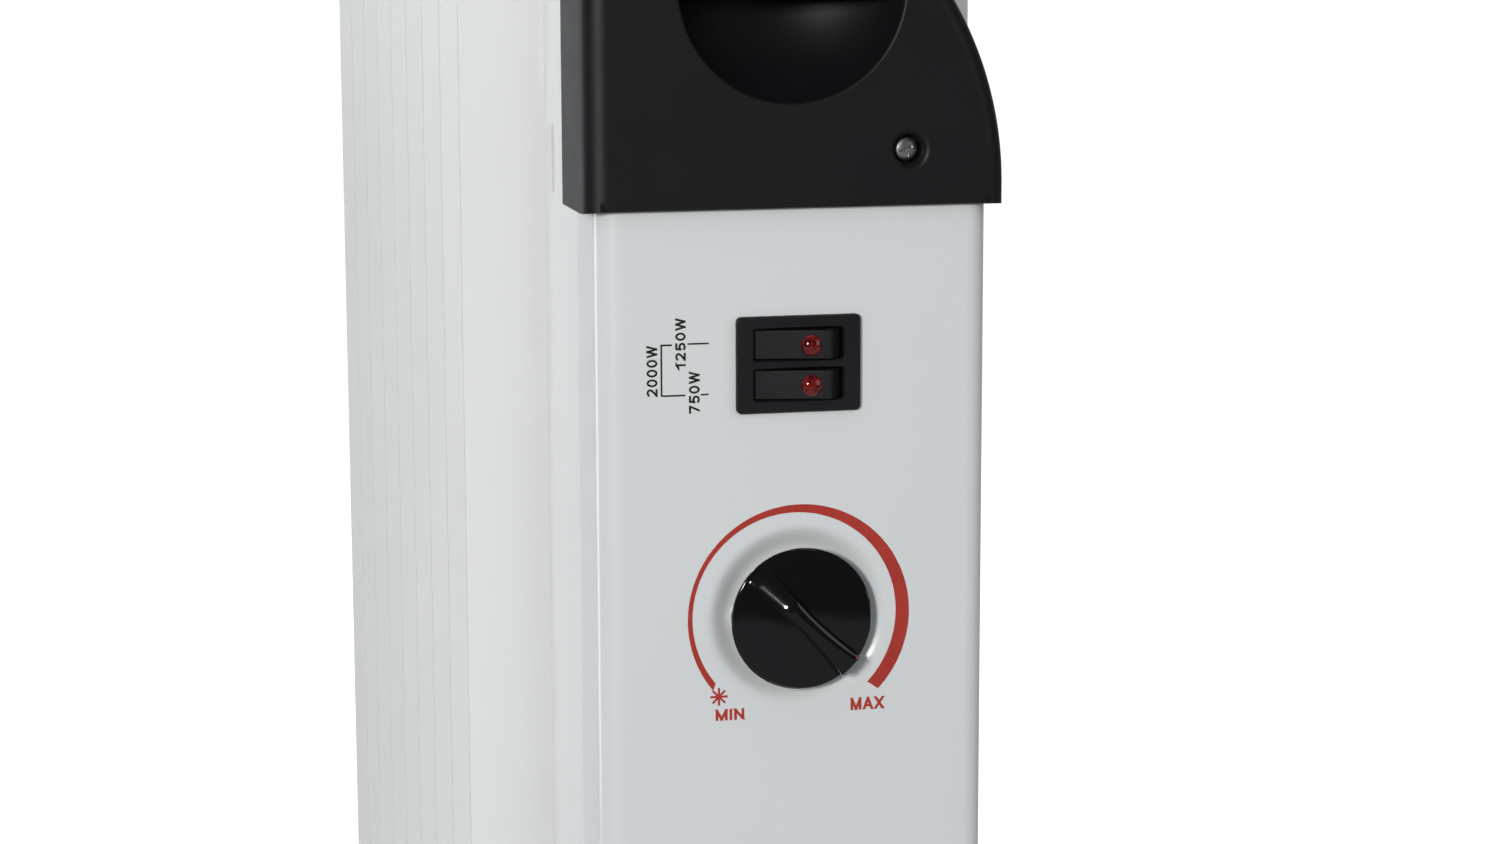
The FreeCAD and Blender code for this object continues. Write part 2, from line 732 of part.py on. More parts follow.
def screw(name, spot, length, turn=BACKWARD):
    """A pan-head screw whose head sits in front of the spot and whose shank runs on behind it."""
    head_spot = (spot[0], f"{spot[1]}-screw_head", spot[2])
    head = rod(f"{name}_head", head_spot, "screw_head_radius", "screw_head", turn)
    shank = rod(f"{name}_shank", spot, "screw_radius", length, turn)
    return joined(name, [head, shank])


def screws():
    node("cap_screw", screw("cap_screw_whole", ("cap_screw_side", behind("well_floor"), "cap_screw_height"),
                            "screw_length"))
    bracket_screws = [screw(f"{level}_screw_{side + 2}",
                            (f"{side}*bracket_screw_side", behind("box_depth-housing_sheet"), f"{level}+bracket_tall/2"),
                            "housing_sheet+bracket_sheet")
                      for level in ("bracket_low", "bracket_high") for side in (-1, 1)]
    node("housing_screws", group("bracket_screws", bracket_screws))
    thermostat_screws = [screw(f"thermostat_screw_{side + 2}",
                               (f"knob_side+{side}*thermostat_screw_side", behind("thermostat_screw_seat"),
                                "knob_height"), "screw_length") for side in (-1, 1)]
    node("thermostat_screws", group("thermostat_screw_pair", thermostat_screws))


def housing_bracket(label, level):
    """A channel of sheet between the housing's back and the first fin, open at top and bottom."""
    outer = block(f"{label}_outer", ("-bracket_half", "bracket_half"), (behind("box_depth"), behind("fin_face")),
                  (level, f"{level}+bracket_tall"))
    inner = block(f"{label}_inner", ("-bracket_half+bracket_sheet", "bracket_half-bracket_sheet"),
                  (behind("box_depth+bracket_sheet"), behind("fin_face+1")),
                  (f"{level}-1", f"{level}+bracket_tall+1"))
    holes = [rod(f"{label}_hole_{side + 2}", (f"{side}*bracket_screw_side", behind("box_depth-1"),
                                              f"{level}+bracket_tall/2"), "screw_radius", "bracket_sheet+2", BACKWARD)
             for side in (-1, 1)]
    node(label, trimmed(f"{label}_whole", outer, [inner] + holes))


def bottom_cover():
    half = "half_box-housing_sheet-cover_gap"
    plate = block("cover_plate", (f"-({half})", half),
                  (behind("front_depth+lip_length+cover_gap"), behind("box_depth-housing_sheet-cover_gap")),
                  ("box_bottom", "box_bottom+cover_sheet"))
    gland_spot = ("gland_side", behind("gland_depth"), "box_bottom-1")
    cuts = [rod("gland_opening", gland_spot, "gland_radius", "cover_sheet+2")]
    for number in range(1, SIZES["cover_slot_count"] + 1):
        middle = f"{number}*cover_slot_pitch"
        cuts.append(block(f"cover_slot_{number}", (f"{middle}-cover_slot_width/2", f"{middle}+cover_slot_width/2"),
                          (behind("gland_depth-cover_slot_length/2"), behind("gland_depth+cover_slot_length/2")),
                          ("box_bottom-1", "box_bottom+cover_sheet+1")))
    node("bottom_cover", trimmed("cover_whole", plate, cuts))


def cord_gland():
    """A grommet that clips through the bottom cover, with the cord's bore down its middle."""
    foot = rod("gland_foot", ("gland_side", behind("gland_depth"), "box_bottom-gland_down"), "gland_flange",
               "gland_down")
    barrel = rod("gland_barrel", ("gland_side", behind("gland_depth"), "box_bottom"), "gland_radius",
                 "cover_sheet+gland_up")
    bore = rod("gland_bore", ("gland_side", behind("gland_depth"), "box_bottom-gland_down-1"), "gland_bore",
               "cover_sheet+gland_up+gland_down+2")
    node("cord_gland", trimmed("gland_whole", joined("gland_solid", [foot, barrel]), [bore]))


def window(name, level, extra, depths):
    half = f"window_width/2+{extra}"
    rise = f"window_tall/2+{extra}"
    return block(name, (f"switch_side-({half})", f"switch_side+{half}"), depths,
                 (f"{level}-({rise})", f"{level}+{rise}"))


def switch():
    """A twin rocker switch that clips into the panel from the front."""
    bezel = block("bezel", ("switch_side-bezel_width/2", "switch_side+bezel_width/2"),
                  (behind("-bezel_proud"), behind("0")),
                  ("switch_height-bezel_tall/2", "switch_height+bezel_tall/2"))
    front_edge = at("y", behind("-bezel_proud"))
    bezel = rounded("bezel_round", bezel, "bezel_corner/2", front_edge)
    case = block("switch_case", ("switch_side-switch_body_width/2", "switch_side+switch_body_width/2"),
                 (behind("0"), behind("switch_body_depth")),
                 ("switch_height-switch_body_tall/2", "switch_height+switch_body_tall/2"))
    cuts, lamps, blades = [], [], []
    for side, place_name in ((1, "upper"), (-1, "lower")):
        level = f"switch_height+{side}*window_pitch/2"
        cuts.append(window(f"window_{place_name}", level, "0", (behind("-bezel_proud-1"), behind("window_depth"))))
        socket_half = "rocker_tall/2+trunnion_reach+0.2"
        cuts.append(rod(f"socket_{place_name}", ("switch_side", behind("rocker_pivot"), f"{level}-({socket_half})"),
                        "trunnion_radius+running_gap", f"2*({socket_half})"))
        lamps.append(rod(f"lamp_{place_name}", ("switch_side+lens_side", behind("lamp_front"), level), "lamp_radius",
                         "lamp_length", BACKWARD))
        for column in (-1, 0, 1):
            across = f"switch_side+{column}*blade_spacing"
            blade = block(f"blade_{place_name}_{column + 2}", (f"{across}-blade_width/2", f"{across}+blade_width/2"),
                          (behind("window_depth"), behind("switch_body_depth+blade_reach")),
                          (f"{level}-blade_sheet/2", f"{level}+blade_sheet/2"))
            blades.append(blade)
    cuts.extend(blades)
    node("switch_frame", trimmed("switch_whole", joined("switch_solid", [bezel, case]), cuts))
    node("neon_lamps", group("lamps", lamps))
    node("switch_terminals", group("blades", blades))


def rocker(which, side):
    """A rocker on two trunnions with its lens, both tilted together so that the lens end stands out."""
    name = f"rocker_{which}"
    level = f"switch_height+{side}*window_pitch/2"
    slab = block(f"{name}_slab", ("-rocker_swing", "rocker_swing"), ("-rocker_face", "rocker_rear"),
                 ("-rocker_tall/2", "rocker_tall/2"))
    sweep = rod(f"{name}_sweep", ("0", "0", "-rocker_tall/2"), "rocker_swing", "rocker_tall")
    half_pin = "rocker_tall/2+trunnion_reach"
    pins = rod(f"{name}_pins", ("0", "0", f"-({half_pin})"), "trunnion_radius", f"2*({half_pin})")
    seat = rod(f"{name}_seat", ("lens_side", "-rocker_face-1", "0"), "lens_radius", "lens_seat+1", BACKWARD)
    body = trimmed(f"{name}_whole", joined(f"{name}_solid", [shared(f"{name}_trim", slab, sweep), pins]), [seat])
    barrel = rod(f"lens_{which}_barrel", ("lens_side", "-rocker_face", "0"), "lens_radius", "lens_seat", BACKWARD)
    dome = shared(f"lens_{which}_dome",
                  ball(f"lens_{which}_ball", ("lens_side", "lens_ball-lens_crown-rocker_face", "0"), "lens_ball"),
                  rod(f"lens_{which}_limit", ("lens_side", "-rocker_face-lens_crown", "0"), "lens_radius",
                      "lens_crown", BACKWARD))
    lens = joined(f"lens_{which}_whole", [barrel, dome])
    tilt = FreeCAD.Rotation(Z_AXIS, -measure("rocker_tilt"))
    for piece in (body, lens):
        place(piece, ("switch_side", behind("rocker_pivot"), level), tilt)
    node(name, body)
    node(f"lens_{which}", lens)


def knob():
    """A low dome with two hollow cheeks that leave a waisted grip bar, and a socket for the shaft."""
    skirt = turned("knob_skirt", "XY_Plane", "V_Axis", [
        ("knob_hub", "knob_seat"), ("knob_hub", "-knob_rim+knob_wall"),
        ("knob_radius-knob_wall", "-knob_rim+knob_wall"), ("knob_radius-knob_wall", "knob_seat"),
        ("knob_radius", "knob_seat"), ("knob_radius", "-knob_rim+1"), ("knob_radius-0.6", "-knob_rim"),
        ("knob_radius/2", "-knob_rim-1.4"), ("0", "-knob_rim-1.8"), ("0", "knob_seat")])
    dome_ball = "(knob_radius^2+(knob_reach-knob_rim)^2)/(2*(knob_reach-knob_rim))"
    crown = shared("knob_crown", ball("knob_dome", ("0", f"{dome_ball}-knob_reach", "0"), dome_ball),
                   rod("knob_crown_limit", ("0", "-knob_reach", "0"), "knob_radius-0.8",
                       "knob_reach-knob_rim+1", BACKWARD))
    cheeks = [rod(f"knob_cheek_{side + 2}", ("0", "-knob_reach-1", f"{side}*(cheek_radius+knob_waist/2)"),
                  "cheek_radius", "knob_reach-knob_rim", BACKWARD) for side in (-1, 1)]
    socket = rod("knob_socket", ("0", "-shaft_socket", "0"), "shaft_radius", "shaft_socket+knob_seat+1", BACKWARD)
    whole = trimmed("knob_whole", joined("knob_dome_and_skirt", [skirt, crown]), cheeks + [socket])
    place(whole, ("knob_side", behind("0"), "knob_height"), FreeCAD.Rotation(Y_AXIS, -measure("knob_mark_angle")))
    node("knob", whole)


def thermostat():
    half = "thermostat_width/2"
    case = block("thermostat_case", (f"knob_side-{half}", f"knob_side+{half}"),
                 (behind("thermostat_front"), behind("thermostat_front+thermostat_depth")),
                 ("knob_height-thermostat_tall/2", "knob_height+thermostat_tall/2"))
    cuts = [rod("thermostat_bore", ("knob_side", behind("thermostat_front-1"), "knob_height"),
                "shaft_radius+running_gap", "shaft_in_body+1.5", BACKWARD)]
    for side in (-1, 1):
        cuts.append(rod(f"thermostat_thread_{side + 2}",
                        (f"knob_side+{side}*thermostat_screw_side", behind("thermostat_front-1"), "knob_height"),
                        "screw_radius", "screw_length+1", BACKWARD))
    node("thermostat_body", trimmed("thermostat_whole", case, cuts))
    node("thermostat_shaft", rod("thermostat_spindle", ("knob_side", behind("-shaft_socket"), "knob_height"),
                                 "shaft_radius", "shaft_socket+thermostat_front+shaft_in_body", BACKWARD))


def thermal_cutout():
    clip = block("clip_plate", ("-clip_width/2", "clip_width/2"), (behind("fin_face-clip_sheet"), behind("fin_face")),
                 ("cutout_height-clip_tall/2", "cutout_height+clip_tall/2"))
    node("cutout_clip", clip)
    node("thermal_cutout", rod("cutout_can", ("0", behind("fin_face-clip_sheet-cutout_length"), "cutout_height"),
                               "cutout_radius", "cutout_length", BACKWARD))


def tilt_switch():
    """A case open at the front, with a bob that hangs on a pin and swings when the heater tips."""
    half, rise = "tilt_width/2", "tilt_tall/2"
    case = block("tilt_case", (f"-{half}", half), (behind("tilt_depth"), behind("tilt_depth+tilt_thickness")),
                 (f"tilt_height-{rise}", f"tilt_height+{rise}"))
    space = block("tilt_space", (f"-{half}+tilt_wall", f"{half}-tilt_wall"),
                  (behind("tilt_depth-1"), behind("tilt_depth+tilt_thickness-tilt_wall")),
                  (f"tilt_height-{rise}+tilt_wall", f"tilt_height+{rise}-tilt_wall"))
    pivot_height = f"tilt_height+{rise}-tilt_wall-pivot_inset"
    pin_spot = ("0", behind("tilt_depth+2"), pivot_height)
    pin = rod("tilt_pin", pin_spot, "pivot_radius", "tilt_thickness-2", BACKWARD)
    node("tilt_switch_case", joined("tilt_case_whole", [trimmed("tilt_shell", case, [space]), pin]))
    bob_start = "tilt_depth+(tilt_thickness-tilt_wall-bob_thickness)/2+0.5"
    arm = block("bob_arm", ("-bob_eye", "bob_eye"), (behind(bob_start), behind(f"{bob_start}+bob_thickness")),
                (f"{pivot_height}-bob_arm", pivot_height))
    eye = rod("bob_eye", ("0", behind(bob_start), pivot_height), "bob_eye", "bob_thickness", BACKWARD)
    weight = rod("bob_weight", ("0", behind(bob_start), f"{pivot_height}-bob_arm"), "bob_radius", "bob_thickness",
                 BACKWARD)
    hole = rod("bob_hole", ("0", behind(f"{bob_start}-1"), pivot_height), "pivot_radius+running_gap",
               "bob_thickness+2", BACKWARD)
    node("tilt_pendulum", trimmed("bob_whole", joined("bob_solid", [arm, eye, weight]), [hole]))


def terminal_block():
    half = "block_width/2"
    body = block("block_body", (f"-{half}", half), (behind("block_depth"), behind("block_depth+block_thickness")),
                 ("block_height", "block_height+block_tall"))
    wells = [rod(f"block_well_{column + 2}", (f"{column}*block_width/3", behind("block_depth-1"),
                                              "block_height+block_tall/2"),
                 "block_well_radius", "block_well_depth", BACKWARD)
             for column in (-1, 0, 1)]
    node("terminal_block", trimmed("block_whole", body, wells))


def wire_set():
    """Insulated wires from the terminal block and the switch down to the cut-out and the elements."""
    switch_rear = behind("switch_body_depth+blade_reach+wire_radius")
    middle = behind("switch_body_depth+blade_reach+wire_set_back")
    ends = (("lead_left", "wire_lane_left", "rod_bend", "low_header+rod_offset", "-1"),
            ("lead_right", "wire_lane_right", "rod_bend", "low_header-rod_offset", "1"))
    leads = []
    for name, lane, across, level, side in ends:
        pin_front = behind("rod_front-pin_reach-wire_radius")
        corners = [(f"switch_side+{side}*blade_spacing", switch_rear, "switch_height-window_pitch/2"),
                   (f"switch_side+{side}*blade_spacing", middle, "switch_height-window_pitch/2-wire_first_drop"),
                   (lane, middle, "switch_height-wire_lane_drop"),
                   (lane, middle, f"{level}+wire_lane_rise"),
                   (f"{side}*{across}", pin_front, level)]
        leads.append(wire(name, corners, "wire_radius", "wire_bend"))
    node("wire_set", group("wires", leads))


def foot_plate(label, depth):
    """A channel across the fins' feet, with holes for the U-bolt's legs and the caster stems."""
    half_depth, half_width = "foot_depth/2", "foot_width/2"
    outer = block(f"{label}_outer", (f"-{half_width}", half_width),
                  (behind(f"{depth}-{half_depth}"), behind(f"{depth}+{half_depth}")),
                  ("fin_foot_height-foot_flange", "fin_foot_height"))
    outer = rounded(f"{label}_round", outer, "foot_corner", runs_along(Z_AXIS))
    inner = block(f"{label}_inner", (f"-{half_width}+foot_sheet", f"{half_width}-foot_sheet"),
                  (behind(f"{depth}-{half_depth}+foot_sheet"), behind(f"{depth}+{half_depth}-foot_sheet")),
                  ("fin_foot_height-foot_flange-1", "foot_underside"))
    inner = rounded(f"{label}_inner_round", inner, "foot_corner-foot_sheet", runs_along(Z_AXIS))
    holes = []
    for side in (-1, 1):
        holes.append(rod(f"{label}_stem_hole_{side + 2}",
                         (f"{side}*caster_spacing/2", behind(depth), "foot_underside-1"), "stem_radius",
                         "foot_sheet+2"))
        holes.append(rod(f"{label}_bolt_hole_{side + 2}", (f"{side}*bolt_bend", behind(depth), "foot_underside-1"),
                         "foot_bolt_radius+foot_bolt_gap", "foot_sheet+2"))
    node(label, trimmed(f"{label}_whole", outer, [inner] + holes))


def foot_bolts():
    """One U-bolt over the lower header between each end pair of fins, held by two wing nuts below."""
    bolts, nuts = [], []
    for end, depth in (("front", "depth_front_foot"), ("rear", "depth_rear_foot")):
        bend = doc.addObject("Part::Torus", f"bolt_{end}_bend")
        bend.setExpression("Radius1", formula("bolt_bend"))
        bend.setExpression("Radius2", formula("foot_bolt_radius"))
        bend.Angle3 = 180
        place(bend, ("0", behind(depth), "low_header"), FreeCAD.Rotation(X_AXIS, 90))
        legs = []
        for side in (-1, 1):
            across = f"{side}*bolt_bend"
            bottom = "foot_underside-foot_bolt_tail"
            legs.append(rod(f"bolt_{end}_leg_{side + 2}", (across, behind(depth), bottom), "foot_bolt_radius",
                            f"low_header-({bottom})"))
            nuts.append(wing_nut(f"nut_{end}_{side + 2}", across, depth))
        bolts.append(joined(f"bolt_{end}", [bend] + legs))
    node("foot_bolts", group("bolt_pair", bolts))
    node("wing_nuts", group("nut_set", nuts))


def wing_nut(name, across, depth):
    bottom = "foot_underside-nut_height"
    barrel = rod(f"{name}_barrel", (across, behind(depth), bottom), "nut_radius", "nut_height")
    wings = block(f"{name}_wings", (f"{across}-wing_reach", f"{across}+wing_reach"),
                  (behind(f"{depth}-wing_sheet/2"), behind(f"{depth}+wing_sheet/2")),
                  (f"{bottom}-wing_rise+wing_root", f"{bottom}+wing_root"))
    clearance = rod(f"{name}_between", (across, behind(depth), f"{bottom}-wing_rise"), "nut_radius", "wing_rise")
    hole = rod(f"{name}_hole", (across, behind(depth), f"{bottom}-wing_rise-1"), "foot_bolt_radius",
               "nut_height+wing_rise+2")
    ears = trimmed(f"{name}_ears", wings, [clearance])
    return trimmed(name, joined(f"{name}_solid", [barrel, ears]), [hole])


def wheel(name, side):
    """One wheel of a twin caster, on the axle's side given as -1 or 1."""
    start = "wheel_face" if side > 0 else "-wheel_end"
    tread = rod(f"{name}_tread", (start, "0", "0"), "wheel_radius", "wheel_width", SIDEWAYS)
    tread = rounded(f"{name}_tread_round", tread, "wheel_round", lambda edge: isinstance(edge.Curve, Part.Circle))
    outside = "wheel_end-wheel_recess" if side > 0 else "-wheel_end-1"
    recess = rod(f"{name}_recess", (outside, "0", "0"), "wheel_radius-wheel_rim", "wheel_recess+1", SIDEWAYS)
    hub_start = "wheel_end-wheel_recess-0.5" if side > 0 else "-wheel_end"
    hub = rod(f"{name}_hub", (hub_start, "0", "0"), "axle_radius+3", "wheel_recess+0.5", SIDEWAYS)
    bore = rod(f"{name}_bore", ("-wheel_end-1", "0", "0"), "axle_radius", "2*wheel_end+2", SIDEWAYS)
    return trimmed(name, joined(f"{name}_solid", [trimmed(f"{name}_rim", tread, [recess]), hub]), [bore])


def caster(corner, across, depth):
    """A twin-wheel caster under one end of a foot plate, trailing towards the rear."""
    stem_spot = (across, behind(depth), "0")
    web = padded(f"web_{corner}", "YZ_Plane", [
        ("-fork_boss_radius", "fork_boss_bottom"), ("-fork_boss_radius", "fork_top-web_neck"),
        ("fork_boss_radius", "fork_top-web_neck"), ("caster_trail+web_rear", "wheel_radius+web_crown"),
        ("caster_trail+web_foot", "wheel_radius-web_drop"), ("caster_trail-web_foot", "wheel_radius-web_drop"),
        ("caster_trail-web_front", "wheel_radius+web_crown")], "fork_web")
    boss = rod(f"boss_{corner}", ("0", "0", "fork_boss_bottom"), "fork_boss_radius", "fork_top-fork_boss_bottom")
    hub_spot = ("-wheel_end", "caster_trail", "wheel_radius")
    ring = rod(f"fender_{corner}_outer", hub_spot, "fender_outer", "2*wheel_end", SIDEWAYS)
    inside = rod(f"fender_{corner}_inner", hub_spot, "fender_inner", "2*wheel_end", SIDEWAYS)
    keep = block(f"fender_{corner}_keep", ("-wheel_end", "wheel_end"),
                 ("caster_trail-fender_outer", "caster_trail+fender_outer"), ("fender_bottom", "fork_top"))
    fender = shared(f"fender_{corner}", trimmed(f"fender_{corner}_ring", ring, [inside]), keep)
    swivel_hole = rod(f"swivel_hole_{corner}", ("0", "0", "stem_bottom-0.5"), "stem_radius+running_gap", "fork_top")
    axle_hole = rod(f"axle_hole_{corner}", hub_spot, "axle_radius+running_gap", "2*wheel_end", SIDEWAYS)
    fork = trimmed(f"fork_{corner}_whole", joined(f"fork_{corner}_solid", [web, boss, fender]),
                   [swivel_hole, axle_hole])
    node(f"caster_fork_{corner}", place(fork, stem_spot))
    pair = group(f"wheels_{corner}", [wheel(f"wheel_{corner}_{side + 2}", side) for side in (-1, 1)])
    hub_place = (across, behind(f"{depth}+caster_trail"), "wheel_radius")
    node(f"caster_wheels_{corner}", place(pair, hub_place))
    axle = rod(f"axle_{corner}", (f"{across}-wheel_end", hub_place[1], hub_place[2]), "axle_radius", "2*wheel_end",
               SIDEWAYS)
    node(f"caster_axle_{corner}", axle)


def casters():
    stems = []
    for corner, side, depth in (("front_left", -1, "depth_front_foot"), ("front_right", 1, "depth_front_foot"),
                                ("rear_left", -1, "depth_rear_foot"), ("rear_right", 1, "depth_rear_foot")):
        across = f"{side}*caster_spacing/2"
        caster(corner, across, depth)
        spot = (across, behind(depth))
        pin = rod(f"stem_{corner}_pin", (*spot, "stem_bottom"), "stem_radius", "fin_foot_height-stem_bottom")
        collar = rod(f"stem_{corner}_collar", (*spot, "foot_underside-stem_collar"), "stem_collar_radius",
                     "stem_collar")
        head = rod(f"stem_{corner}_head", (*spot, "fin_foot_height"), "stem_head_radius", "stem_head")
        stems.append(joined(f"stem_{corner}", [pin, collar, head]))
    node("caster_stems", group("stems", stems))


def check_document():
    doc.recompute()
    for piece in doc.Objects:
        if {"Invalid", "Error"} & set(piece.State):
            raise RuntimeError(f"{piece.Name} did not build: {piece.State}")
    for piece in NODES:
        if piece.Shape.isNull() or not piece.Shape.isValid() or not piece.Shape.Solids:
            raise RuntimeError(f"{piece.Label} has no valid solid")


def write_parts():
    os.makedirs("parts", exist_ok=True)
    for piece in NODES:
        piece.Shape.exportStep(f"parts/{piece.Label}.step")
        print(f"{piece.Label}: {len(piece.Shape.Solids)} solid(s), {piece.Shape.Volume / 1000:.2f} cm3")


enter_sizes()
fins()
header_collars("lower_header_collars", "low_header")
header_collars("upper_header_collars", "high_header")
header_plugs()
heating_element("heating_element_750", 1)
heating_element("heating_element_1250", -1)
element_mount()
rear_housing()
front_panel()
top_cap()
screws()
housing_bracket("housing_bracket_lower", "bracket_low")
housing_bracket("housing_bracket_upper", "bracket_high")
bottom_cover()
cord_gland()
switch()
rocker("upper", 1)
rocker("lower", -1)
knob()
thermostat()
thermal_cutout()
tilt_switch()
terminal_block()
wire_set()
foot_plate("foot_plate_front", "depth_front_foot")
foot_plate("foot_plate_rear", "depth_rear_foot")
foot_bolts()
casters()
check_document()
write_parts()
print(f"{len(NODES)} nodes")
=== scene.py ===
import json
from math import asin, ceil, copysign, cos, dist, hypot, pi, radians, sin, sqrt

import bmesh
import bpy
from mathutils import Euler, Matrix, Vector


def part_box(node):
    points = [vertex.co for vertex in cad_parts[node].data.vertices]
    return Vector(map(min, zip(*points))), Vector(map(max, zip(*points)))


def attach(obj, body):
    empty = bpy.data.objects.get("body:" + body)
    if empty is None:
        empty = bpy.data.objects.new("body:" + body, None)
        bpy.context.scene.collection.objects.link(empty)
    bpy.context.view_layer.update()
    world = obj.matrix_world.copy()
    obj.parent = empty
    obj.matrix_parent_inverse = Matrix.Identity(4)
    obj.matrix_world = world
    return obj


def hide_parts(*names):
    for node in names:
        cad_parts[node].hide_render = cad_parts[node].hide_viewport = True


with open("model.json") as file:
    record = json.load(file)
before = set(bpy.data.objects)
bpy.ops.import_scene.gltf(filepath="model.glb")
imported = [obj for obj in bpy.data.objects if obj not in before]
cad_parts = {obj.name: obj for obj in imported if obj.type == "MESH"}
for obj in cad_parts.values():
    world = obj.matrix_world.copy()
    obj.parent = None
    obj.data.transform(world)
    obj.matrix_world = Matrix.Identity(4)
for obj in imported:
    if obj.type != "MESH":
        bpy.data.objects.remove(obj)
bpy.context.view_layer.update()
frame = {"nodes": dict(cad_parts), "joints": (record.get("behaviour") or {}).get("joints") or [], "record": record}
mm = 0.001
scene = bpy.context.scene
jointPlace = {joint["name"]: Vector(joint["pos_m"]) for joint in frame["joints"]}

# Two working frames, both in millimetres. On the control panel X runs right, Y up and Z out
# of the panel, from the knob's axis. On the floor frame the axes are the heater's own.
knobCentre = jointPlace["knob_turn"]
onPanel = Matrix.Translation(knobCentre) @ Matrix.Rotation(radians(90), 4, "X") @ Matrix.Scale(mm, 4)
onFloor = Matrix.Scale(mm, 4)


def panelHeight(worldZ):
    return worldZ - knobCentre.z / mm


def panelSide(worldX):
    return worldX - knobCentre.x / mm


def newTree(name):
    material = bpy.data.materials.new(name)
    material.use_nodes = True
    tree = material.node_tree
    shader = tree.nodes["Principled BSDF"]
    return material, tree, shader


def noiseNode(tree, scale, detail=3.0, stretch=None, seedShift=0.0):
    coord = tree.nodes.new("ShaderNodeTexCoord")
    mapping = tree.nodes.new("ShaderNodeMapping")
    mapping.inputs["Scale"].default_value = stretch or (1.0, 1.0, 1.0)
    mapping.inputs["Location"].default_value = (seedShift, seedShift * 0.7, seedShift * 1.3)
    noise = tree.nodes.new("ShaderNodeTexNoise")
    noise.inputs["Scale"].default_value = scale
    noise.inputs["Detail"].default_value = detail
    tree.links.new(coord.outputs["Object"], mapping.inputs["Vector"])
    tree.links.new(mapping.outputs["Vector"], noise.inputs["Vector"])
    return noise.outputs["Fac"]


def spread(tree, source, low, high):
    ramp = tree.nodes.new("ShaderNodeMapRange")
    ramp.inputs["From Min"].default_value = 0.3
    ramp.inputs["From Max"].default_value = 0.7
    ramp.inputs["To Min"].default_value = low
    ramp.inputs["To Max"].default_value = high
    tree.links.new(source, ramp.inputs["Value"])
    return ramp.outputs["Result"]


def makeFinish(name, look):
    material, tree, shader = newTree(name)
    base = look["colour"]
    # random tone change of the colour; on the red lens it is pushed so high that it paints bright glints into the
    # dome
    change = look.get("mottleAndGlint", 0.04)
    mix = tree.nodes.new("ShaderNodeMix")
    mix.data_type = "RGBA"
    mix.inputs[6].default_value = tuple(channel * (1 - change) for channel in base) + (1.0,)
    mix.inputs[7].default_value = tuple(min(1.0, channel * (1 + change)) for channel in base) + (1.0,)
    mottleAndGlint = noiseNode(tree, look.get("mottleScale", 18.0), stretch=look.get("stretch"))
    tree.links.new(spread(tree, mottleAndGlint, 0.0, 1.0), mix.inputs[0])
    tree.links.new(mix.outputs[2], shader.inputs["Base Color"])
    rough = look["rough"]
    wander = look.get("roughSpread", 0.15)
    roughNoise = noiseNode(tree, 60.0, stretch=look.get("stretch"), seedShift=3.7)
    tree.links.new(spread(tree, roughNoise, rough * (1 - wander), rough * (1 + wander)),
            shader.inputs["Roughness"])
    for socket, key, usual in (("Metallic", "metal", 0.0), ("Specular IOR Level", "specular", 0.5),
            ("Coat Weight", "coat", 0.0), ("Transmission Weight", "clear", 0.0)):
        shader.inputs[socket].default_value = look.get(key, usual)
    shader.inputs["Coat Roughness"].default_value = 0.05
    shader.inputs["Emission Strength"].default_value = 0.0
    if look.get("grainDepth"):
        bump = tree.nodes.new("ShaderNodeBump")
        bump.inputs["Strength"].default_value = look.get("grainStrength", 0.5)
        bump.inputs["Distance"].default_value = look["grainDepth"] * mm
        grain = noiseNode(tree, look["grainScale"], detail=2.0,
                stretch=look.get("stretch"), seedShift=1.9)
        tree.links.new(grain, bump.inputs["Height"])
        tree.links.new(bump.outputs["Normal"], shader.inputs["Normal"])
    return material


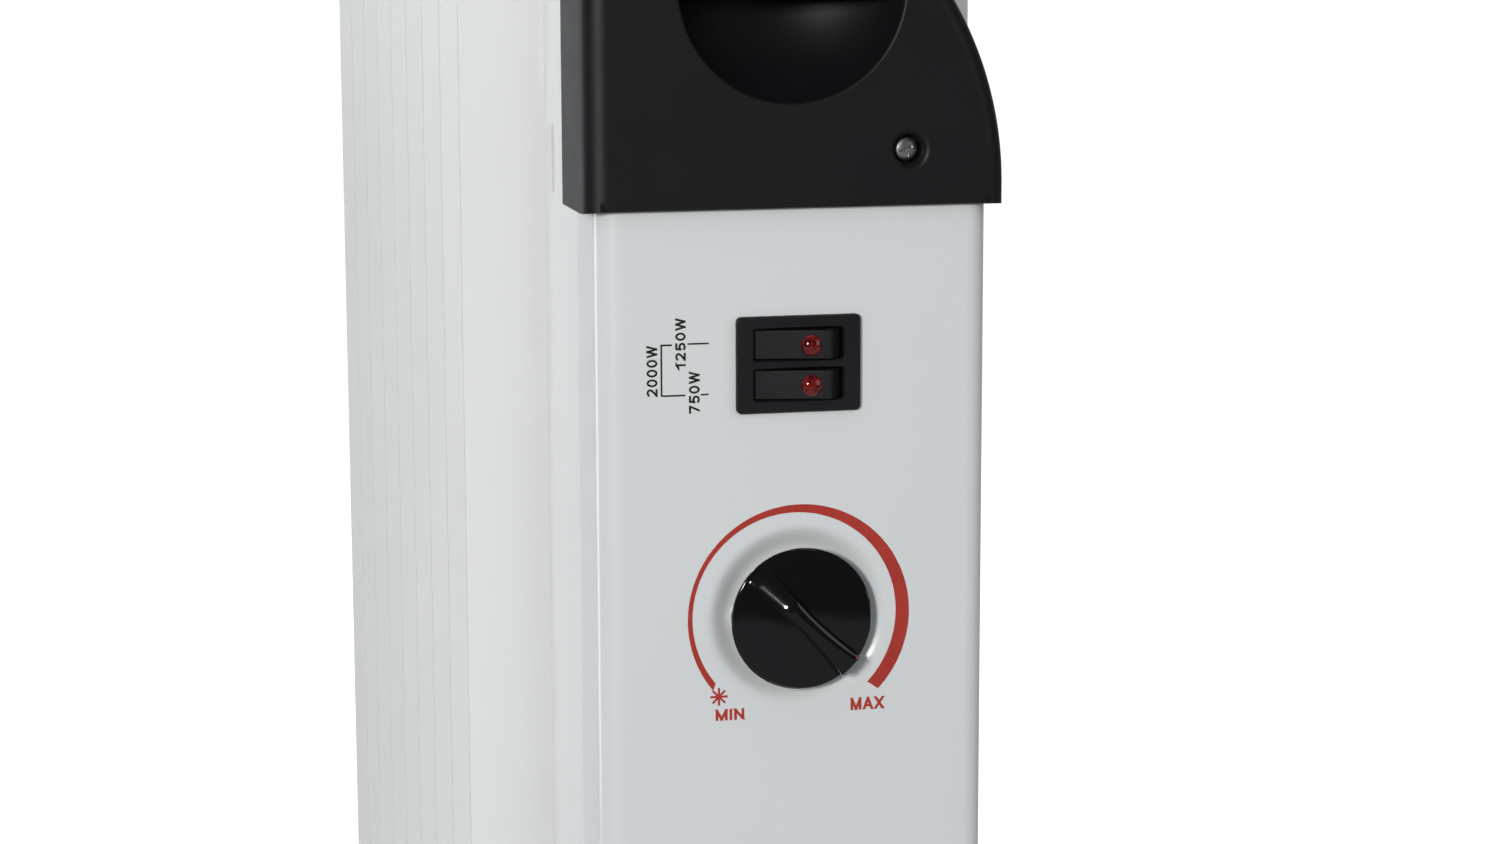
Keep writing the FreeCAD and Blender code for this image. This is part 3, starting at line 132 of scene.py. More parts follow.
looks = {
    "fin_enamel": dict(colour=(0.88, 0.885, 0.89), rough=0.32, mottleAndGlint=0.008, grainScale=300.0,
        grainDepth=0.01, grainStrength=0.02, roughSpread=0.03, coat=0.2),
    "panel_white": dict(colour=(0.76, 0.78, 0.79), rough=0.26, mottleAndGlint=0.006, grainScale=220.0,
        grainDepth=0.01, grainStrength=0.02, roughSpread=0.03, coat=0.2),
    "cap_black": dict(colour=(0.0056, 0.0057, 0.0076), rough=0.50, mottleAndGlint=0.12, grainScale=2600.0,
        grainDepth=0.03, grainStrength=0.35, roughSpread=0.05, specular=0.36),
    "knob_black": dict(colour=(0.0045, 0.0045, 0.0052), rough=0.09, mottleAndGlint=0.2, grainScale=900.0,
        grainDepth=0.006, grainStrength=0.2, coat=0.4),
    "switch_black": dict(colour=(0.0084, 0.0086, 0.0112), specular=0.36, rough=0.44, mottleAndGlint=0.2,
        grainScale=3600.0, grainDepth=0.05, grainStrength=0.5),
    # the lens's strong colour mottle is painted glints: bright and dark red flecks standing in for light caught in
    # the dome
    "lens_red": dict(colour=(0.13, 0.006, 0.006), rough=0.08, mottleAndGlint=0.92, mottleScale=620.0,
        grainScale=900.0, grainDepth=0.03, coat=0.7),
    "zinc_steel": dict(colour=(0.60, 0.61, 0.62), rough=0.34, metal=1.0, mottleAndGlint=0.14, mottleScale=900.0,
        grainScale=1800.0, grainDepth=0.03),
    "element_steel": dict(colour=(0.50, 0.49, 0.47), rough=0.38, metal=1.0, mottleAndGlint=0.1,
        grainScale=1200.0, grainDepth=0.02, stretch=(1.0, 0.1, 1.0)),
    "switch_brass": dict(colour=(0.62, 0.47, 0.22), rough=0.30, metal=1.0, mottleAndGlint=0.1,
        grainScale=1500.0, grainDepth=0.02),
    "lamp_glass": dict(colour=(0.90, 0.86, 0.80), rough=0.05, clear=0.8, mottleAndGlint=0.02),
    "phenolic": dict(colour=(0.06, 0.032, 0.02), rough=0.5, mottleAndGlint=0.3, mottleScale=500.0,
        grainScale=1600.0, grainDepth=0.04),
    "bob_brass": dict(colour=(0.62, 0.47, 0.22), rough=0.26, metal=1.0, mottleAndGlint=0.08, grainScale=1500.0,
        grainDepth=0.02),
    "block_nylon": dict(colour=(0.74, 0.72, 0.66), rough=0.5, mottleAndGlint=0.05, grainScale=900.0,
        grainDepth=0.04),
    "cutout_aluminium": dict(colour=(0.70, 0.70, 0.71), rough=0.36, metal=1.0, mottleAndGlint=0.06,
        grainScale=1500.0, grainDepth=0.02),
    "wire_cover": dict(colour=(0.52, 0.52, 0.54), rough=0.55, mottleAndGlint=0.06, grainScale=800.0,
        grainDepth=0.03),
    "gland_black": dict(colour=(0.014, 0.014, 0.014), rough=0.55, mottleAndGlint=0.2, grainScale=1500.0,
        grainDepth=0.05),
    "caster_black": dict(colour=(0.018, 0.018, 0.020), rough=0.40, mottleAndGlint=0.2, grainScale=2400.0,
        grainDepth=0.04),
    "wheel_black": dict(colour=(0.020, 0.020, 0.021), rough=0.50, mottleAndGlint=0.25, grainScale=2000.0,
        grainDepth=0.05),
}
finishes = {slotName: makeFinish(slotName, look) for slotName, look in looks.items()}
inkRed = makeFinish("inkRed", dict(colour=(0.46, 0.040, 0.027), rough=0.38, mottleAndGlint=0.07,
        mottleScale=260.0, grainScale=1600.0, grainDepth=0.01))
inkBlack = makeFinish("inkBlack", dict(colour=(0.008, 0.008, 0.009), rough=0.42, mottleAndGlint=0.15,
        mottleScale=300.0, grainScale=1600.0, grainDepth=0.01))
print("finishes", len(finishes) + 2)

slotOf = {part["node"]: part["material_slot"] for part in frame["record"]["subparts"]}
for nodeName, nodeObject in frame["nodes"].items():
    nodeObject.data.materials.clear()
    nodeObject.data.materials.append(finishes[slotOf[nodeName]])


def looseObject(name, shape, material=None, place=None):
    mesh = bpy.data.meshes.new(name)
    if place is not None:
        shape.transform(place)
    bmesh.ops.remove_doubles(shape, verts=shape.verts, dist=(1e-7 if place is not None else 1e-5))
    bmesh.ops.recalc_face_normals(shape, faces=shape.faces)
    shape.to_mesh(mesh)
    shape.free()
    piece = bpy.data.objects.new(name, mesh)
    scene.collection.objects.link(piece)
    if material:
        mesh.materials.append(material)
    return piece


def settle(piece):
    graph = bpy.context.evaluated_depsgraph_get()
    baked = bpy.data.meshes.new_from_object(piece.evaluated_get(graph), preserve_all_data_layers=True,
            depsgraph=graph)
    piece.modifiers.clear()
    piece.data = baked


def combine(piece, tool, how="DIFFERENCE"):
    step = piece.modifiers.new("combine", "BOOLEAN")
    step.operation = how
    step.solver = "EXACT"
    step.object = tool
    settle(piece)
    bpy.data.objects.remove(tool)


def smoothShade(piece, sharpAngle=32.0, weighted=False):
    piece.data.shade_smooth()
    piece.data.set_sharp_from_angle(angle=radians(sharpAngle))
    if weighted:
        step = piece.modifiers.new("shade", "WEIGHTED_NORMAL")
        step.weight = 100
        step.keep_sharp = True
        settle(piece)


def finishPiece(piece, rides, slotName, replaced=(), sharpAngle=32.0, weighted=False):
    smoothShade(piece, sharpAngle, weighted)
    if not piece.data.materials:
        piece.data.materials.append(finishes[slotName])
    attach(piece, rides)
    if replaced:
        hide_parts(*replaced)
    return piece


def addLathe(shape, profile, centre=(0, 0, 0), segments=96, tilt=None):
    # profile: (radius, along) pairs, turned about Z; a zero radius closes the pole
    matrix = Matrix.Translation(centre) @ (tilt or Matrix.Identity(4))
    rings = []
    for radius, along in profile:
        turns = [2 * pi * k / segments for k in range(1 if radius == 0 else segments)]
        rings.append([shape.verts.new(matrix @ Vector((radius * cos(turn), radius * sin(turn), along)))
                for turn in turns])
    for lower, upper in zip(rings, rings[1:]):
        for k in range(segments):
            after = (k + 1) % segments
            if len(lower) == 1 and len(upper) == 1:
                continue
            if len(lower) == 1:
                shape.faces.new((lower[0], upper[k], upper[after]))
            elif len(upper) == 1:
                shape.faces.new((lower[k], lower[after], upper[0]))
            else:
                shape.faces.new((lower[k], lower[after], upper[after], upper[k]))


def addPrism(shape, outline, start, end, turn=None):
    # a closed outline in X and Y, raised along Z from start to end
    matrix = turn or Matrix.Identity(4)
    lower = [shape.verts.new(matrix @ Vector((x, y, start))) for x, y in outline]
    upper = [shape.verts.new(matrix @ Vector((x, y, end))) for x, y in outline]
    shape.faces.new(list(reversed(lower)))
    shape.faces.new(upper)
    count = len(outline)
    for k in range(count):
        shape.faces.new((lower[k], lower[(k + 1) % count], upper[(k + 1) % count], upper[k]))


def addLoft(shape, rings):
    rows = [[shape.verts.new(point) for point in ring] for ring in rings]
    count = len(rows[0])
    for lower, upper in zip(rows, rows[1:]):
        for k in range(count):
            shape.faces.new((lower[k], lower[(k + 1) % count], upper[(k + 1) % count], upper[k]))
    shape.faces.new(list(reversed(rows[0])))
    shape.faces.new(rows[-1])


def arcPath(x, y, across, tall, start, end, steps=16):
    return [(x + across * cos(radians(start + (end - start) * k / steps)),
             y + tall * sin(radians(start + (end - start) * k / steps))) for k in range(steps + 1)]


def roundedBox(left, right, bottom, top, radius, steps=6):
    corners = [(right - radius, bottom + radius, -90), (right - radius, top - radius, 0),
               (left + radius, top - radius, 90), (left + radius, bottom + radius, 180)]
    points = []
    for x, y, start in corners:
        points += arcPath(x, y, radius, radius, start, start + 90, steps)
    return points


def ramp01(value):
    value = max(0.0, min(1.0, value))
    return value * value * (3 - 2 * value)


panel = dict(corner=6.0, wall=2.2, cornerSteps=12, dishRadius=23.4, dishSlope=6.6, dishDepth=2.7,
        fine=0.75, coarse=9.0, holeRadius=4.5, sideDepths=(-20.0, -13.0), halfWidth=49.5)
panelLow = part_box("front_panel")[0]
panel.update(left=panelSide(-panel["halfWidth"]), right=panelSide(panel["halfWidth"]),
        bottom=panelHeight(panelLow.z / mm), top=108.0, depth=27.2)
switchHole = dict(left=-14.2, right=13.8, bottom=52.9, top=74.8)


def dishDrop(x, y):
    return -panel["dishDepth"] * ramp01((panel["dishRadius"] - hypot(x, y)) / panel["dishSlope"])


def stepped(start, end, breaks, fineFrom, fineTo, fine, coarse):
    stops = sorted({start, end, fineFrom, fineTo, *breaks})
    values = []
    for low, high in zip(stops, stops[1:]):
        size = fine if fineFrom <= (low + high) / 2 <= fineTo else coarse
        count = max(1, ceil((high - low) / size))
        values += [low + (high - low) * k / count for k in range(count)]
    return values + [end]


def buildPanel():
    shape = bmesh.new()
    reach = panel["dishRadius"] + 1.0
    flatLeft, flatRight = panel["left"] + panel["corner"], panel["right"] - panel["corner"]
    columns = []
    for depth in (-panel["depth"], *panel["sideDepths"]):
        columns.append((panel["left"], depth, False))
    corner = panel["corner"]
    columns += [(x, depth, False) for x, depth in
                arcPath(flatLeft, -corner, corner, corner, 180, 90, panel["cornerSteps"])[:-1]]
    for x in stepped(flatLeft, flatRight, (switchHole["left"], switchHole["right"]),
                     -reach, reach, panel["fine"], panel["coarse"]):
        columns.append((x, 0.0, True))
    columns += [(x, depth, False) for x, depth in
                arcPath(flatRight, -corner, corner, corner, 90, 0, panel["cornerSteps"])[1:]]
    for depth in (*reversed(panel["sideDepths"]), -panel["depth"]):
        columns.append((panel["right"], depth, False))
    rows = stepped(panel["bottom"], panel["top"], (switchHole["bottom"], switchHole["top"]),
                   -reach, reach, panel["fine"], panel["coarse"])
    grid = [[shape.verts.new((x, y, depth + (dishDrop(x, y) if onFace else 0.0)))
             for x, depth, onFace in columns] for y in rows]
    for j in range(len(rows) - 1):
        for i in range(len(columns) - 1):
            x = (columns[i][0] + columns[i + 1][0]) / 2
            y = (rows[j] + rows[j + 1]) / 2
            inSwitch = (switchHole["left"] < x < switchHole["right"]
                        and switchHole["bottom"] < y < switchHole["top"])
            if columns[i][2] and (inSwitch or hypot(x, y) < panel["holeRadius"]):
                continue
            shape.faces.new((grid[j][i], grid[j][i + 1], grid[j + 1][i + 1], grid[j + 1][i]))
    for vertex in [v for v in shape.verts if not v.link_faces]:
        shape.verts.remove(vertex)
    mesh = bpy.data.meshes.new("frontPanel")
    shape.transform(onPanel)
    bmesh.ops.recalc_face_normals(shape, faces=shape.faces)
    middle = max(shape.faces, key=lambda face: face.calc_area())
    if middle.normal.y > 0.5:
        bmesh.ops.reverse_faces(shape, faces=shape.faces)
    shape.to_mesh(mesh)
    shape.free()
    piece = bpy.data.objects.new("frontPanel", mesh)
    scene.collection.objects.link(piece)
    mesh.materials.append(finishes["panel_white"])
    wall = piece.modifiers.new("wall", "SOLIDIFY")
    wall.thickness = panel["wall"] * mm
    wall.offset = -1.0
    settle(piece)
    return finishPiece(piece, "heater", "panel_white", ["front_panel"], 40.0, weighted=True)


buildPanel()
print("front panel")

cap = dict(arcX=panelSide(-35.0), arcY=107.0, arcRadius=88.2, left=panelSide(-53.2), bottom=102.0,
        front=3.0, back=-27.2, fillet=6.0, filletSteps=9, wall=2.5, corner=7.0, arcSteps=72,
        cornerSteps=8, lip=2.5, leastCorner=0.4, draft=0.9, cavityDrop=-3.0, innerFillet=4.0,
        innerSteps=4)
scoop = dict(x=-2.15, y=156.4, radius=30.16, centre=13.16, gripEdge=153.4, gripBack=-6.0, rim=0.7,
        liner=2.2, bowlSteps=40, rimStop=88.6, rimSteps=5, gripHeel=1.2, gripRound=0.6, gripReach=40.0,
        clear=6.0)
well = dict(x=27.28, y=116.16, radius=3.7, floor=-3.0, chamfer=1.7, boss=6.4, clear=8.0)


def capOutline(inset, lift=0.0):
    radius = cap["arcRadius"] - inset
    left = cap["left"] + inset
    bottom = cap["bottom"] + lift
    right = cap["arcX"] + radius
    corner = max(cap["leastCorner"], cap["corner"] - inset)
    top = cap["arcY"] + radius
    points = [(left, bottom), (right, bottom), (right, bottom + cap["lip"])]
    points += arcPath(cap["arcX"], cap["arcY"], radius, radius, 0, 90, cap["arcSteps"])
    points += arcPath(left + corner, top - corner, corner, corner, 90, 180, cap["cornerSteps"])
    return points + [(left, bottom + cap["lip"])]


def scoopProfile(extra):
    radius = scoop["radius"] + extra
    plane = cap["front"]
    rimAngle = asin((plane - scoop["centre"]) / radius)
    sweep = rimAngle + radians(scoop["rimStop"])
    angles = [radians(-90) + sweep * k / scoop["bowlSteps"] for k in range(scoop["bowlSteps"] + 1)]
    profile = [(radius * cos(angle), scoop["centre"] + radius * sin(angle)) for angle in angles]
    profile[0] = (0.0, scoop["centre"] - radius)
    return profile


def buildCap():
    shape = bmesh.new()
    rings = [[Vector((x, y, cap["back"])) for x, y in capOutline(0.0)]]
    for k in range(cap["filletSteps"] + 1):
        angle = radians(90 * k / cap["filletSteps"])
        inset = cap["fillet"] * (1 - cos(angle))
        depth = cap["front"] - cap["fillet"] * (1 - sin(angle))
        rings.append([Vector((x, y, depth))
                for x, y in capOutline(inset, cap["draft"] * (1 - cos(angle)))])
    addLoft(shape, rings)
    body = looseObject("topCap", shape)

    hollow = bmesh.new()
    rings = [[Vector((x, y, cap["back"] - 1)) for x, y in capOutline(cap["wall"], cap["cavityDrop"])]]
    for k in range(cap["innerSteps"] + 1):
        angle = radians(90 * k / cap["innerSteps"])
        inset = cap["wall"] + cap["innerFillet"] * (1 - cos(angle))
        rings.append([Vector((x, y, cap["front"] - cap["wall"] - cap["innerFillet"] * (1 - sin(angle))))
                for x, y in capOutline(inset, cap["cavityDrop"])])
    addLoft(hollow, rings)
    cavity = looseObject("cavity", hollow)
    liner = bmesh.new()
    profile = scoopProfile(scoop["liner"])
    addLathe(liner, profile + [(profile[-1][0], scoop["clear"]), (0.0, scoop["clear"])],
             (scoop["x"], scoop["y"], 0), 128)
    combine(cavity, looseObject("liner", liner))
    boss = bmesh.new()
    addLathe(boss, [(0.0, well["floor"] - 2), (well["boss"], well["floor"] - 2),
            (well["boss"], scoop["clear"]), (0.0, scoop["clear"])], (well["x"], well["y"], 0), 64)
    combine(cavity, looseObject("boss", boss))
    combine(body, cavity)

    bowl = bmesh.new()
    profile = scoopProfile(0.0)
    rimRadius = sqrt(scoop["radius"] ** 2 - (cap["front"] - scoop["centre"]) ** 2)
    start = profile[-1]
    for k in range(1, scoop["rimSteps"] + 1):
        t = k / scoop["rimSteps"]
        first, second, third = (1 - t) ** 2, 2 * t * (1 - t), t * t
        profile.append((first * start[0] + second * rimRadius + third * (rimRadius + scoop["rim"]),
                first * start[1] + second * cap["front"] + third * cap["front"]))
    addLathe(bowl, profile + [(rimRadius + scoop["rim"], 9.0), (0.0, 9.0)], (scoop["x"], scoop["y"], 0),
             160)
    bowl = looseObject("bowl", bowl)
    grip = bmesh.new()
    reach = rimRadius + 4
    edge, heel, blend = scoop["gripEdge"], scoop["gripHeel"], scoop["gripRound"]
    section = [(edge + scoop["gripReach"], scoop["gripBack"]), (edge + heel, scoop["gripBack"])]
    section += arcPath(edge + heel, scoop["gripBack"] + heel, heel, heel, 270, 180, 5)[1:]
    section += arcPath(edge + blend, cap["front"] - blend, blend, blend, 180, 90, 5)
    section += [(edge + blend, 12.0), (edge + scoop["gripReach"], 12.0)]
    along = Matrix(((0, 0, 1, 0), (1, 0, 0, 0), (0, 1, 0, 0), (0, 0, 0, 1)))
    addPrism(grip, section, scoop["x"] - reach, scoop["x"] + reach, along)
    combine(bowl, looseObject("grip", grip))
    combine(body, bowl)

    hole = bmesh.new()
    plane = cap["front"]
    chamfer = well["chamfer"]
    rim = arcPath(well["radius"] + chamfer, plane - chamfer, chamfer, chamfer, 180, 90, 5)
    addLathe(hole, [(0.0, well["floor"]), (well["radius"], well["floor"])] + rim
             + [(rim[-1][0], well["clear"]), (0.0, well["clear"])], (well["x"], well["y"], 0), 64)
    combine(body, looseObject("well", hole))
    body.data.transform(onPanel)
    body.data.materials.clear()
    return finishPiece(body, "heater", "cap_black", ["top_cap"], 34.0, weighted=True)


buildCap()
print("top cap")

capScrew = dict(radius=2.9, top=-0.2, seat=-2.9, dome=0.7, slotWidth=0.75, slotReach=1.9, slotDepth=1.2,
        slotTurn=20.0, slotTaper=0.8)


def crossHead(shape, spec, centre, segments=48):
    profile = [(0.0, spec["seat"]), (spec["radius"], spec["seat"]),
               (spec["radius"], spec["top"] - spec["dome"])]
    profile += arcPath(0, spec["top"] - spec["dome"], spec["radius"], spec["dome"], 0, 90, 6)[1:]
    profile[-1] = (0.0, spec["top"])
    addLathe(shape, profile, centre, segments)


def buildCapScrew():
    shape = bmesh.new()
    crossHead(shape, capScrew, (well["x"], well["y"], 0))
    head = looseObject("capScrew", shape)
    cross = bmesh.new()
    wide, long = capScrew["slotWidth"] / 2, capScrew["slotReach"]
    outline = []
    for quarter in range(4):
        angle = radians(90 * quarter + capScrew["slotTurn"])
        turned = [(wide, -wide), (long, -wide * capScrew["slotTaper"]),
                  (long, wide * capScrew["slotTaper"])]
        outline += [(well["x"] + x * cos(angle) - y * sin(angle),
                well["y"] + x * sin(angle) + y * cos(angle)) for x, y in turned]
    addPrism(cross, outline, capScrew["top"] - capScrew["slotDepth"], 4.0)
    combine(head, looseObject("cross", cross))
    head.data.transform(onPanel)
    return finishPiece(head, "heater", "zinc_steel", ["cap_screw"], 30.0)


buildCapScrew()

knob = dict(radius=17.95, seat=-2.4, foot=15.6, rim=3.6, barTop=9.7, crown=0.3, tailStart=-4.8,
        tailEase=2.6, tailSlope=0.56, headEnd=16.2, headTop=8.5, waist=3.8, endWidth=6.6, angle=-46.0,
        rowCount=90, cheekCount=22, rimRound=0.5, edgeRound=0.3, cheekRise=1.2, flare=1.6,
        leastStep=0.02, steepest=0.7, lean=0.12, reach=0.9995, headGap=0.25,
        crownSteps=(0.65, 0.32, 0.0))


def barHeight(u):
    if u < knob["tailStart"]:
        run, ease = knob["tailStart"] - u, knob["tailEase"]
        drop = run * run / (2 * ease) if run < ease else run - ease / 2
        return knob["barTop"] - knob["tailSlope"] * drop
    return knob["barTop"] - (knob["barTop"] - knob["headTop"]) * (max(0.0, u) / knob["headEnd"]) ** 2


def buildKnob():
    shape = bmesh.new()
    radius = knob["radius"]
    endU = radius * knob["reach"]
    turn = Matrix.Rotation(radians(knob["angle"]), 4, "Z")
    cheekSteps = knob["cheekCount"]
    stations = [-endU * cos(pi * j / knob["rowCount"]) for j in range(knob["rowCount"] + 1)]
    head = knob["headEnd"]
    stations = sorted([u for u in stations if abs(u - head) > knob["headGap"]]
            + [head - 0.12, head, head + 0.05])
    rows = []
    for u in stations:
        share = abs(u) / endU
        half = (knob["waist"] + (knob["endWidth"] - knob["waist"]) * share ** knob["flare"]) / 2
        chord = sqrt(max(0.0, radius ** 2 - u * u))
        foot = knob["rim"] + knob["cheekRise"] * (1 - share ** 2)
        barHigh = max(foot + knob["leastStep"], barHeight(u))
        if u > head:
            barHigh = foot + knob["leastStep"]
        slope = min(knob["steepest"], (barHigh - foot) * knob["lean"])
        r = min(knob["edgeRound"], (barHigh - foot) * 0.4)
        side = []
        for k in range(cheekSteps + 1):  # from the rim in to the bar's foot
            s = k / cheekSteps
            v = chord + (half + slope - chord) * s if chord > half + slope else half + slope * (1 - s)
            edge = max(0.0, hypot(u, v) - (radius - knob["rimRound"]))
            high = knob["rim"] + (foot - knob["rim"]) * sin(pi / 2 * s)
            if edge > 0:
                high -= knob["rimRound"] - sqrt(max(0.0, knob["rimRound"] ** 2 - edge ** 2))
            side.append((v, high))
        side += [(half + slope * 0.35, foot + (barHigh - foot) * 0.5), (half, barHigh - r),
                 (half - r * 0.3, barHigh - r * 0.3), (half - r, barHigh)]
        crown = min(knob["crown"], (barHigh - foot) * 0.3)
        side += [(half * share, barHigh + crown * (1 - share * share)) for share in knob["crownSteps"]]
        mirrored = [(-v, high) for v, high in reversed(side[:-1])]
        rows.append([shape.verts.new(turn @ Vector((u, max(-chord, min(chord, v)), high)))
                for v, high in side + mirrored])
    for lower, upper in zip(rows, rows[1:]):
        for k in range(len(lower) - 1):
            shape.faces.new((lower[k], upper[k], upper[k + 1], lower[k + 1]))
    bmesh.ops.remove_doubles(shape, verts=shape.verts, dist=0.004)
    border = [edge for edge in shape.edges if len(edge.link_faces) == 1]
    drop = bmesh.ops.extrude_edge_only(shape, edges=border)
    skirt = [item for item in drop["geom"] if isinstance(item, bmesh.types.BMVert)]
    for vertex in skirt:
        vertex.co.xy *= knob["foot"] / radius
        vertex.co.z = knob["seat"]
    low = [item for item in drop["geom"] if isinstance(item, bmesh.types.BMEdge)]
    bmesh.ops.contextual_create(shape, geom=low)
    piece = looseObject("thermostatKnob", shape, finishes["knob_black"], onPanel)
    return finishPiece(piece, "knob", "knob_black", ["knob"], 28.0, weighted=True)


buildKnob()


knobMark = dict(near=15.55, far=15.9, low=0.2, high=2.7, sunk=0.05, proud=0.17)


def buildKnobMark():
    # a short red line on the end of the bar
    shape = bmesh.new()
    turn = Matrix.Rotation(radians(knob["angle"]), 4, "Z")
    near, far, low, high = knobMark["near"], knobMark["far"], knobMark["low"], knobMark["high"]
    addPrism(shape, [(near, low), (far, low), (far, high), (near, high)],
             knob["headTop"] - knobMark["sunk"], knob["headTop"] + knobMark["proud"], turn)
    piece = looseObject("knobMark", shape, inkRed, onPanel)
    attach(piece, "knob")
    smoothShade(piece)


buildKnobMark()
print("knob")

switch = dict(x=-0.25, y=63.8, width=31.5, tall=24.1, corner=1.3, bodyWidth=28.0, bodyTall=21.8,
        bodyDepth=22.0, windowWidth=22.7, windowTall=7.8, pitch=10.0, windowDepth=20.0, bodyCorner=0.8,
        windowCorner=0.5, edgeSteps=((0.0, 0.0), (0.0, 0.9), (0.1, 1.25), (0.35, 1.5)),
        mouthSteps=((0.0, 1.0), (-0.25, 1.4), (-0.5, 1.6), (-0.5, 4.0)))
rocker = dict(width=22.2, tuck=1.4, base=-5.0, edge=0.35, bevelEnd=(9.4, 1.6), tip=-0.6, lensSeat=0.5,
        lensDrop=0.2, tall=7.2, high=3.9, low=0.6, flatEnd=7.6, lampX=2.65, lensRadius=2.7, lensTop=4.5,
        lensDome=1.7)


def buildSwitchFrame():
    shape = bmesh.new()
    x, y = switch["x"], switch["y"]
    half, tall = switch["width"] / 2, switch["tall"] / 2
    rings = []
    for inset, depth in switch["edgeSteps"]:
        outline = roundedBox(x - half + inset, x + half - inset, y - tall + inset, y + tall - inset,
                switch["corner"], 4)
        rings.append([Vector((px, py, depth)) for px, py in outline])
    addLoft(shape, rings)
    piece = looseObject("switchFrame", shape)
    inner = bmesh.new()
    addPrism(inner, roundedBox(x - switch["bodyWidth"] / 2, x + switch["bodyWidth"] / 2,
                               y - switch["bodyTall"] / 2, y + switch["bodyTall"] / 2,
                               switch["bodyCorner"], 3), -switch["bodyDepth"], 0.5)
    combine(piece, looseObject("switchBody", inner), "UNION")
    for side in (-1, 1):
        window = bmesh.new()
        wide, high = switch["windowWidth"] / 2, switch["windowTall"] / 2
        centre = y + side * switch["pitch"] / 2
        rings = []
        for inset, depth in ((0.0, -switch["windowDepth"]), *switch["mouthSteps"]):
            outline = roundedBox(x - wide + inset, x + wide - inset, centre - high + inset,
                                 centre + high - inset, switch["windowCorner"], 3)
            rings.append([Vector((px, py, depth)) for px, py in outline])
        addLoft(window, rings)
        combine(piece, looseObject("window", window))
    piece.data.transform(onPanel)
    return finishPiece(piece, "heater", "switch_black", ["switch_frame"], 30.0, weighted=True)


def buildRocker(name, centreY, rides, nodeName):
    shape = bmesh.new()
    x, half, tall = switch["x"], rocker["width"] / 2, rocker["tall"] / 2
    # side profile along X: low left end, long flat rising to the lamp end, then a bevel back down
    foot = half - rocker["tuck"]
    profile = [(-foot, rocker["base"]), (-half, rocker["low"] - 0.3), (-half + 0.3, rocker["low"])]
    profile += [(-half + 0.3 + (half + rocker["flatEnd"] - 0.6) * k / 8,
            rocker["low"] + (rocker["high"] - rocker["low"]) * (k / 8) ** 1.15) for k in range(1, 9)]
    profile += [(rocker["flatEnd"] + 0.15, rocker["high"] - 0.1),
                (rocker["flatEnd"] + 0.4, rocker["high"] - 0.45),
                rocker["bevelEnd"], (half, rocker["tip"]), (foot, rocker["base"])]
    rings, edge = [], rocker["edge"]
    for offset, inset in ((-tall, edge), (-tall + 0.1, 0.12), (-tall + edge, 0.0), (tall - edge, 0.0),
            (tall - 0.1, 0.12), (tall, edge)):
        rings.append([Vector((x + px, centreY + offset, pz - inset if pz > -4 else pz))
                for px, pz in profile])
    addLoft(shape, rings)
    piece = looseObject(name, shape, finishes["switch_black"], onPanel)
    return finishPiece(piece, rides, "switch_black", [nodeName], 26.0, weighted=True)


def buildLens(name, centreY, rides, nodeName):
    shape = bmesh.new()
    radius, top = rocker["lensRadius"], rocker["lensTop"]
    dome = rocker["lensDome"]
    profile = [(0.0, rocker["lensSeat"]), (radius, rocker["lensSeat"]), (radius, top - dome)]
    profile += arcPath(0, top - dome, radius, dome, 0, 90, 12)[1:-1] + [(0.0, top)]
    addLathe(shape, profile, (rocker["lampX"], centreY, 0), 48)
    piece = looseObject(name, shape, finishes["lens_red"], onPanel)
    return finishPiece(piece, rides, "lens_red", [nodeName], 40.0)


buildSwitchFrame()
for level, side in (("upper", 1), ("lower", -1)):
    rides = "rocker_top" if level == "upper" else "rocker_bottom"
    middle = switch["y"] + side * switch["pitch"] / 2
    buildRocker(level + "Rocker", middle, rides, "rocker_" + level)
    buildLens(level + "Lens", middle - rocker["lensDrop"], rides, "lens_" + level)
print("rocker switch")

marks = dict(lift=0.03, thick=0.04, ringOuter=28.41, ringInner=26.11, ringShiftX=-1.07, ringShiftY=0.32,
        minAngle=219.0, maxAngle=-44.0, ringSteps=180, ringOuterShift=0.07)
star = dict(x=-20.55, y=-19.56, reach=2.25, half=0.27, arms=4, stagger=0.006)


def printOn(name, shape, ink):
    piece = looseObject(name, shape, ink, onPanel)
    smoothShade(piece, 30.0)
    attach(piece, "heater")


def buildScaleRing():
    shape = bmesh.new()
    outer, inner = [], []
    sweep = marks["maxAngle"] - marks["minAngle"]
    for k in range(marks["ringSteps"] + 1):
        angle = radians(marks["minAngle"] + sweep * k / marks["ringSteps"])
        direction = Vector((cos(angle), sin(angle)))
        outer.append(direction * marks["ringOuter"] + Vector((marks["ringOuterShift"], 0.0)))
        inner.append(direction * marks["ringInner"]
                + Vector((marks["ringShiftX"], marks["ringShiftY"])))
    strips = []
    for height in (marks["lift"], marks["lift"] + marks["thick"]):
        strips.append([[shape.verts.new((p.x, p.y, height)) for p in outer],
                [shape.verts.new((p.x, p.y, height)) for p in inner]])
    (lowOut, lowIn), (topOut, topIn) = strips
    for k in range(marks["ringSteps"]):
        shape.faces.new((topOut[k], topOut[k + 1], topIn[k + 1], topIn[k]))
        shape.faces.new((lowOut[k], lowIn[k], lowIn[k + 1], lowOut[k + 1]))
        shape.faces.new((lowOut[k], lowOut[k + 1], topOut[k + 1], topOut[k]))
        shape.faces.new((lowIn[k], topIn[k], topIn[k + 1], lowIn[k + 1]))
    for k in (0, marks["ringSteps"]):
        shape.faces.new((lowOut[k], topOut[k], topIn[k], lowIn[k]))
    printOn("scaleRing", shape, inkRed)


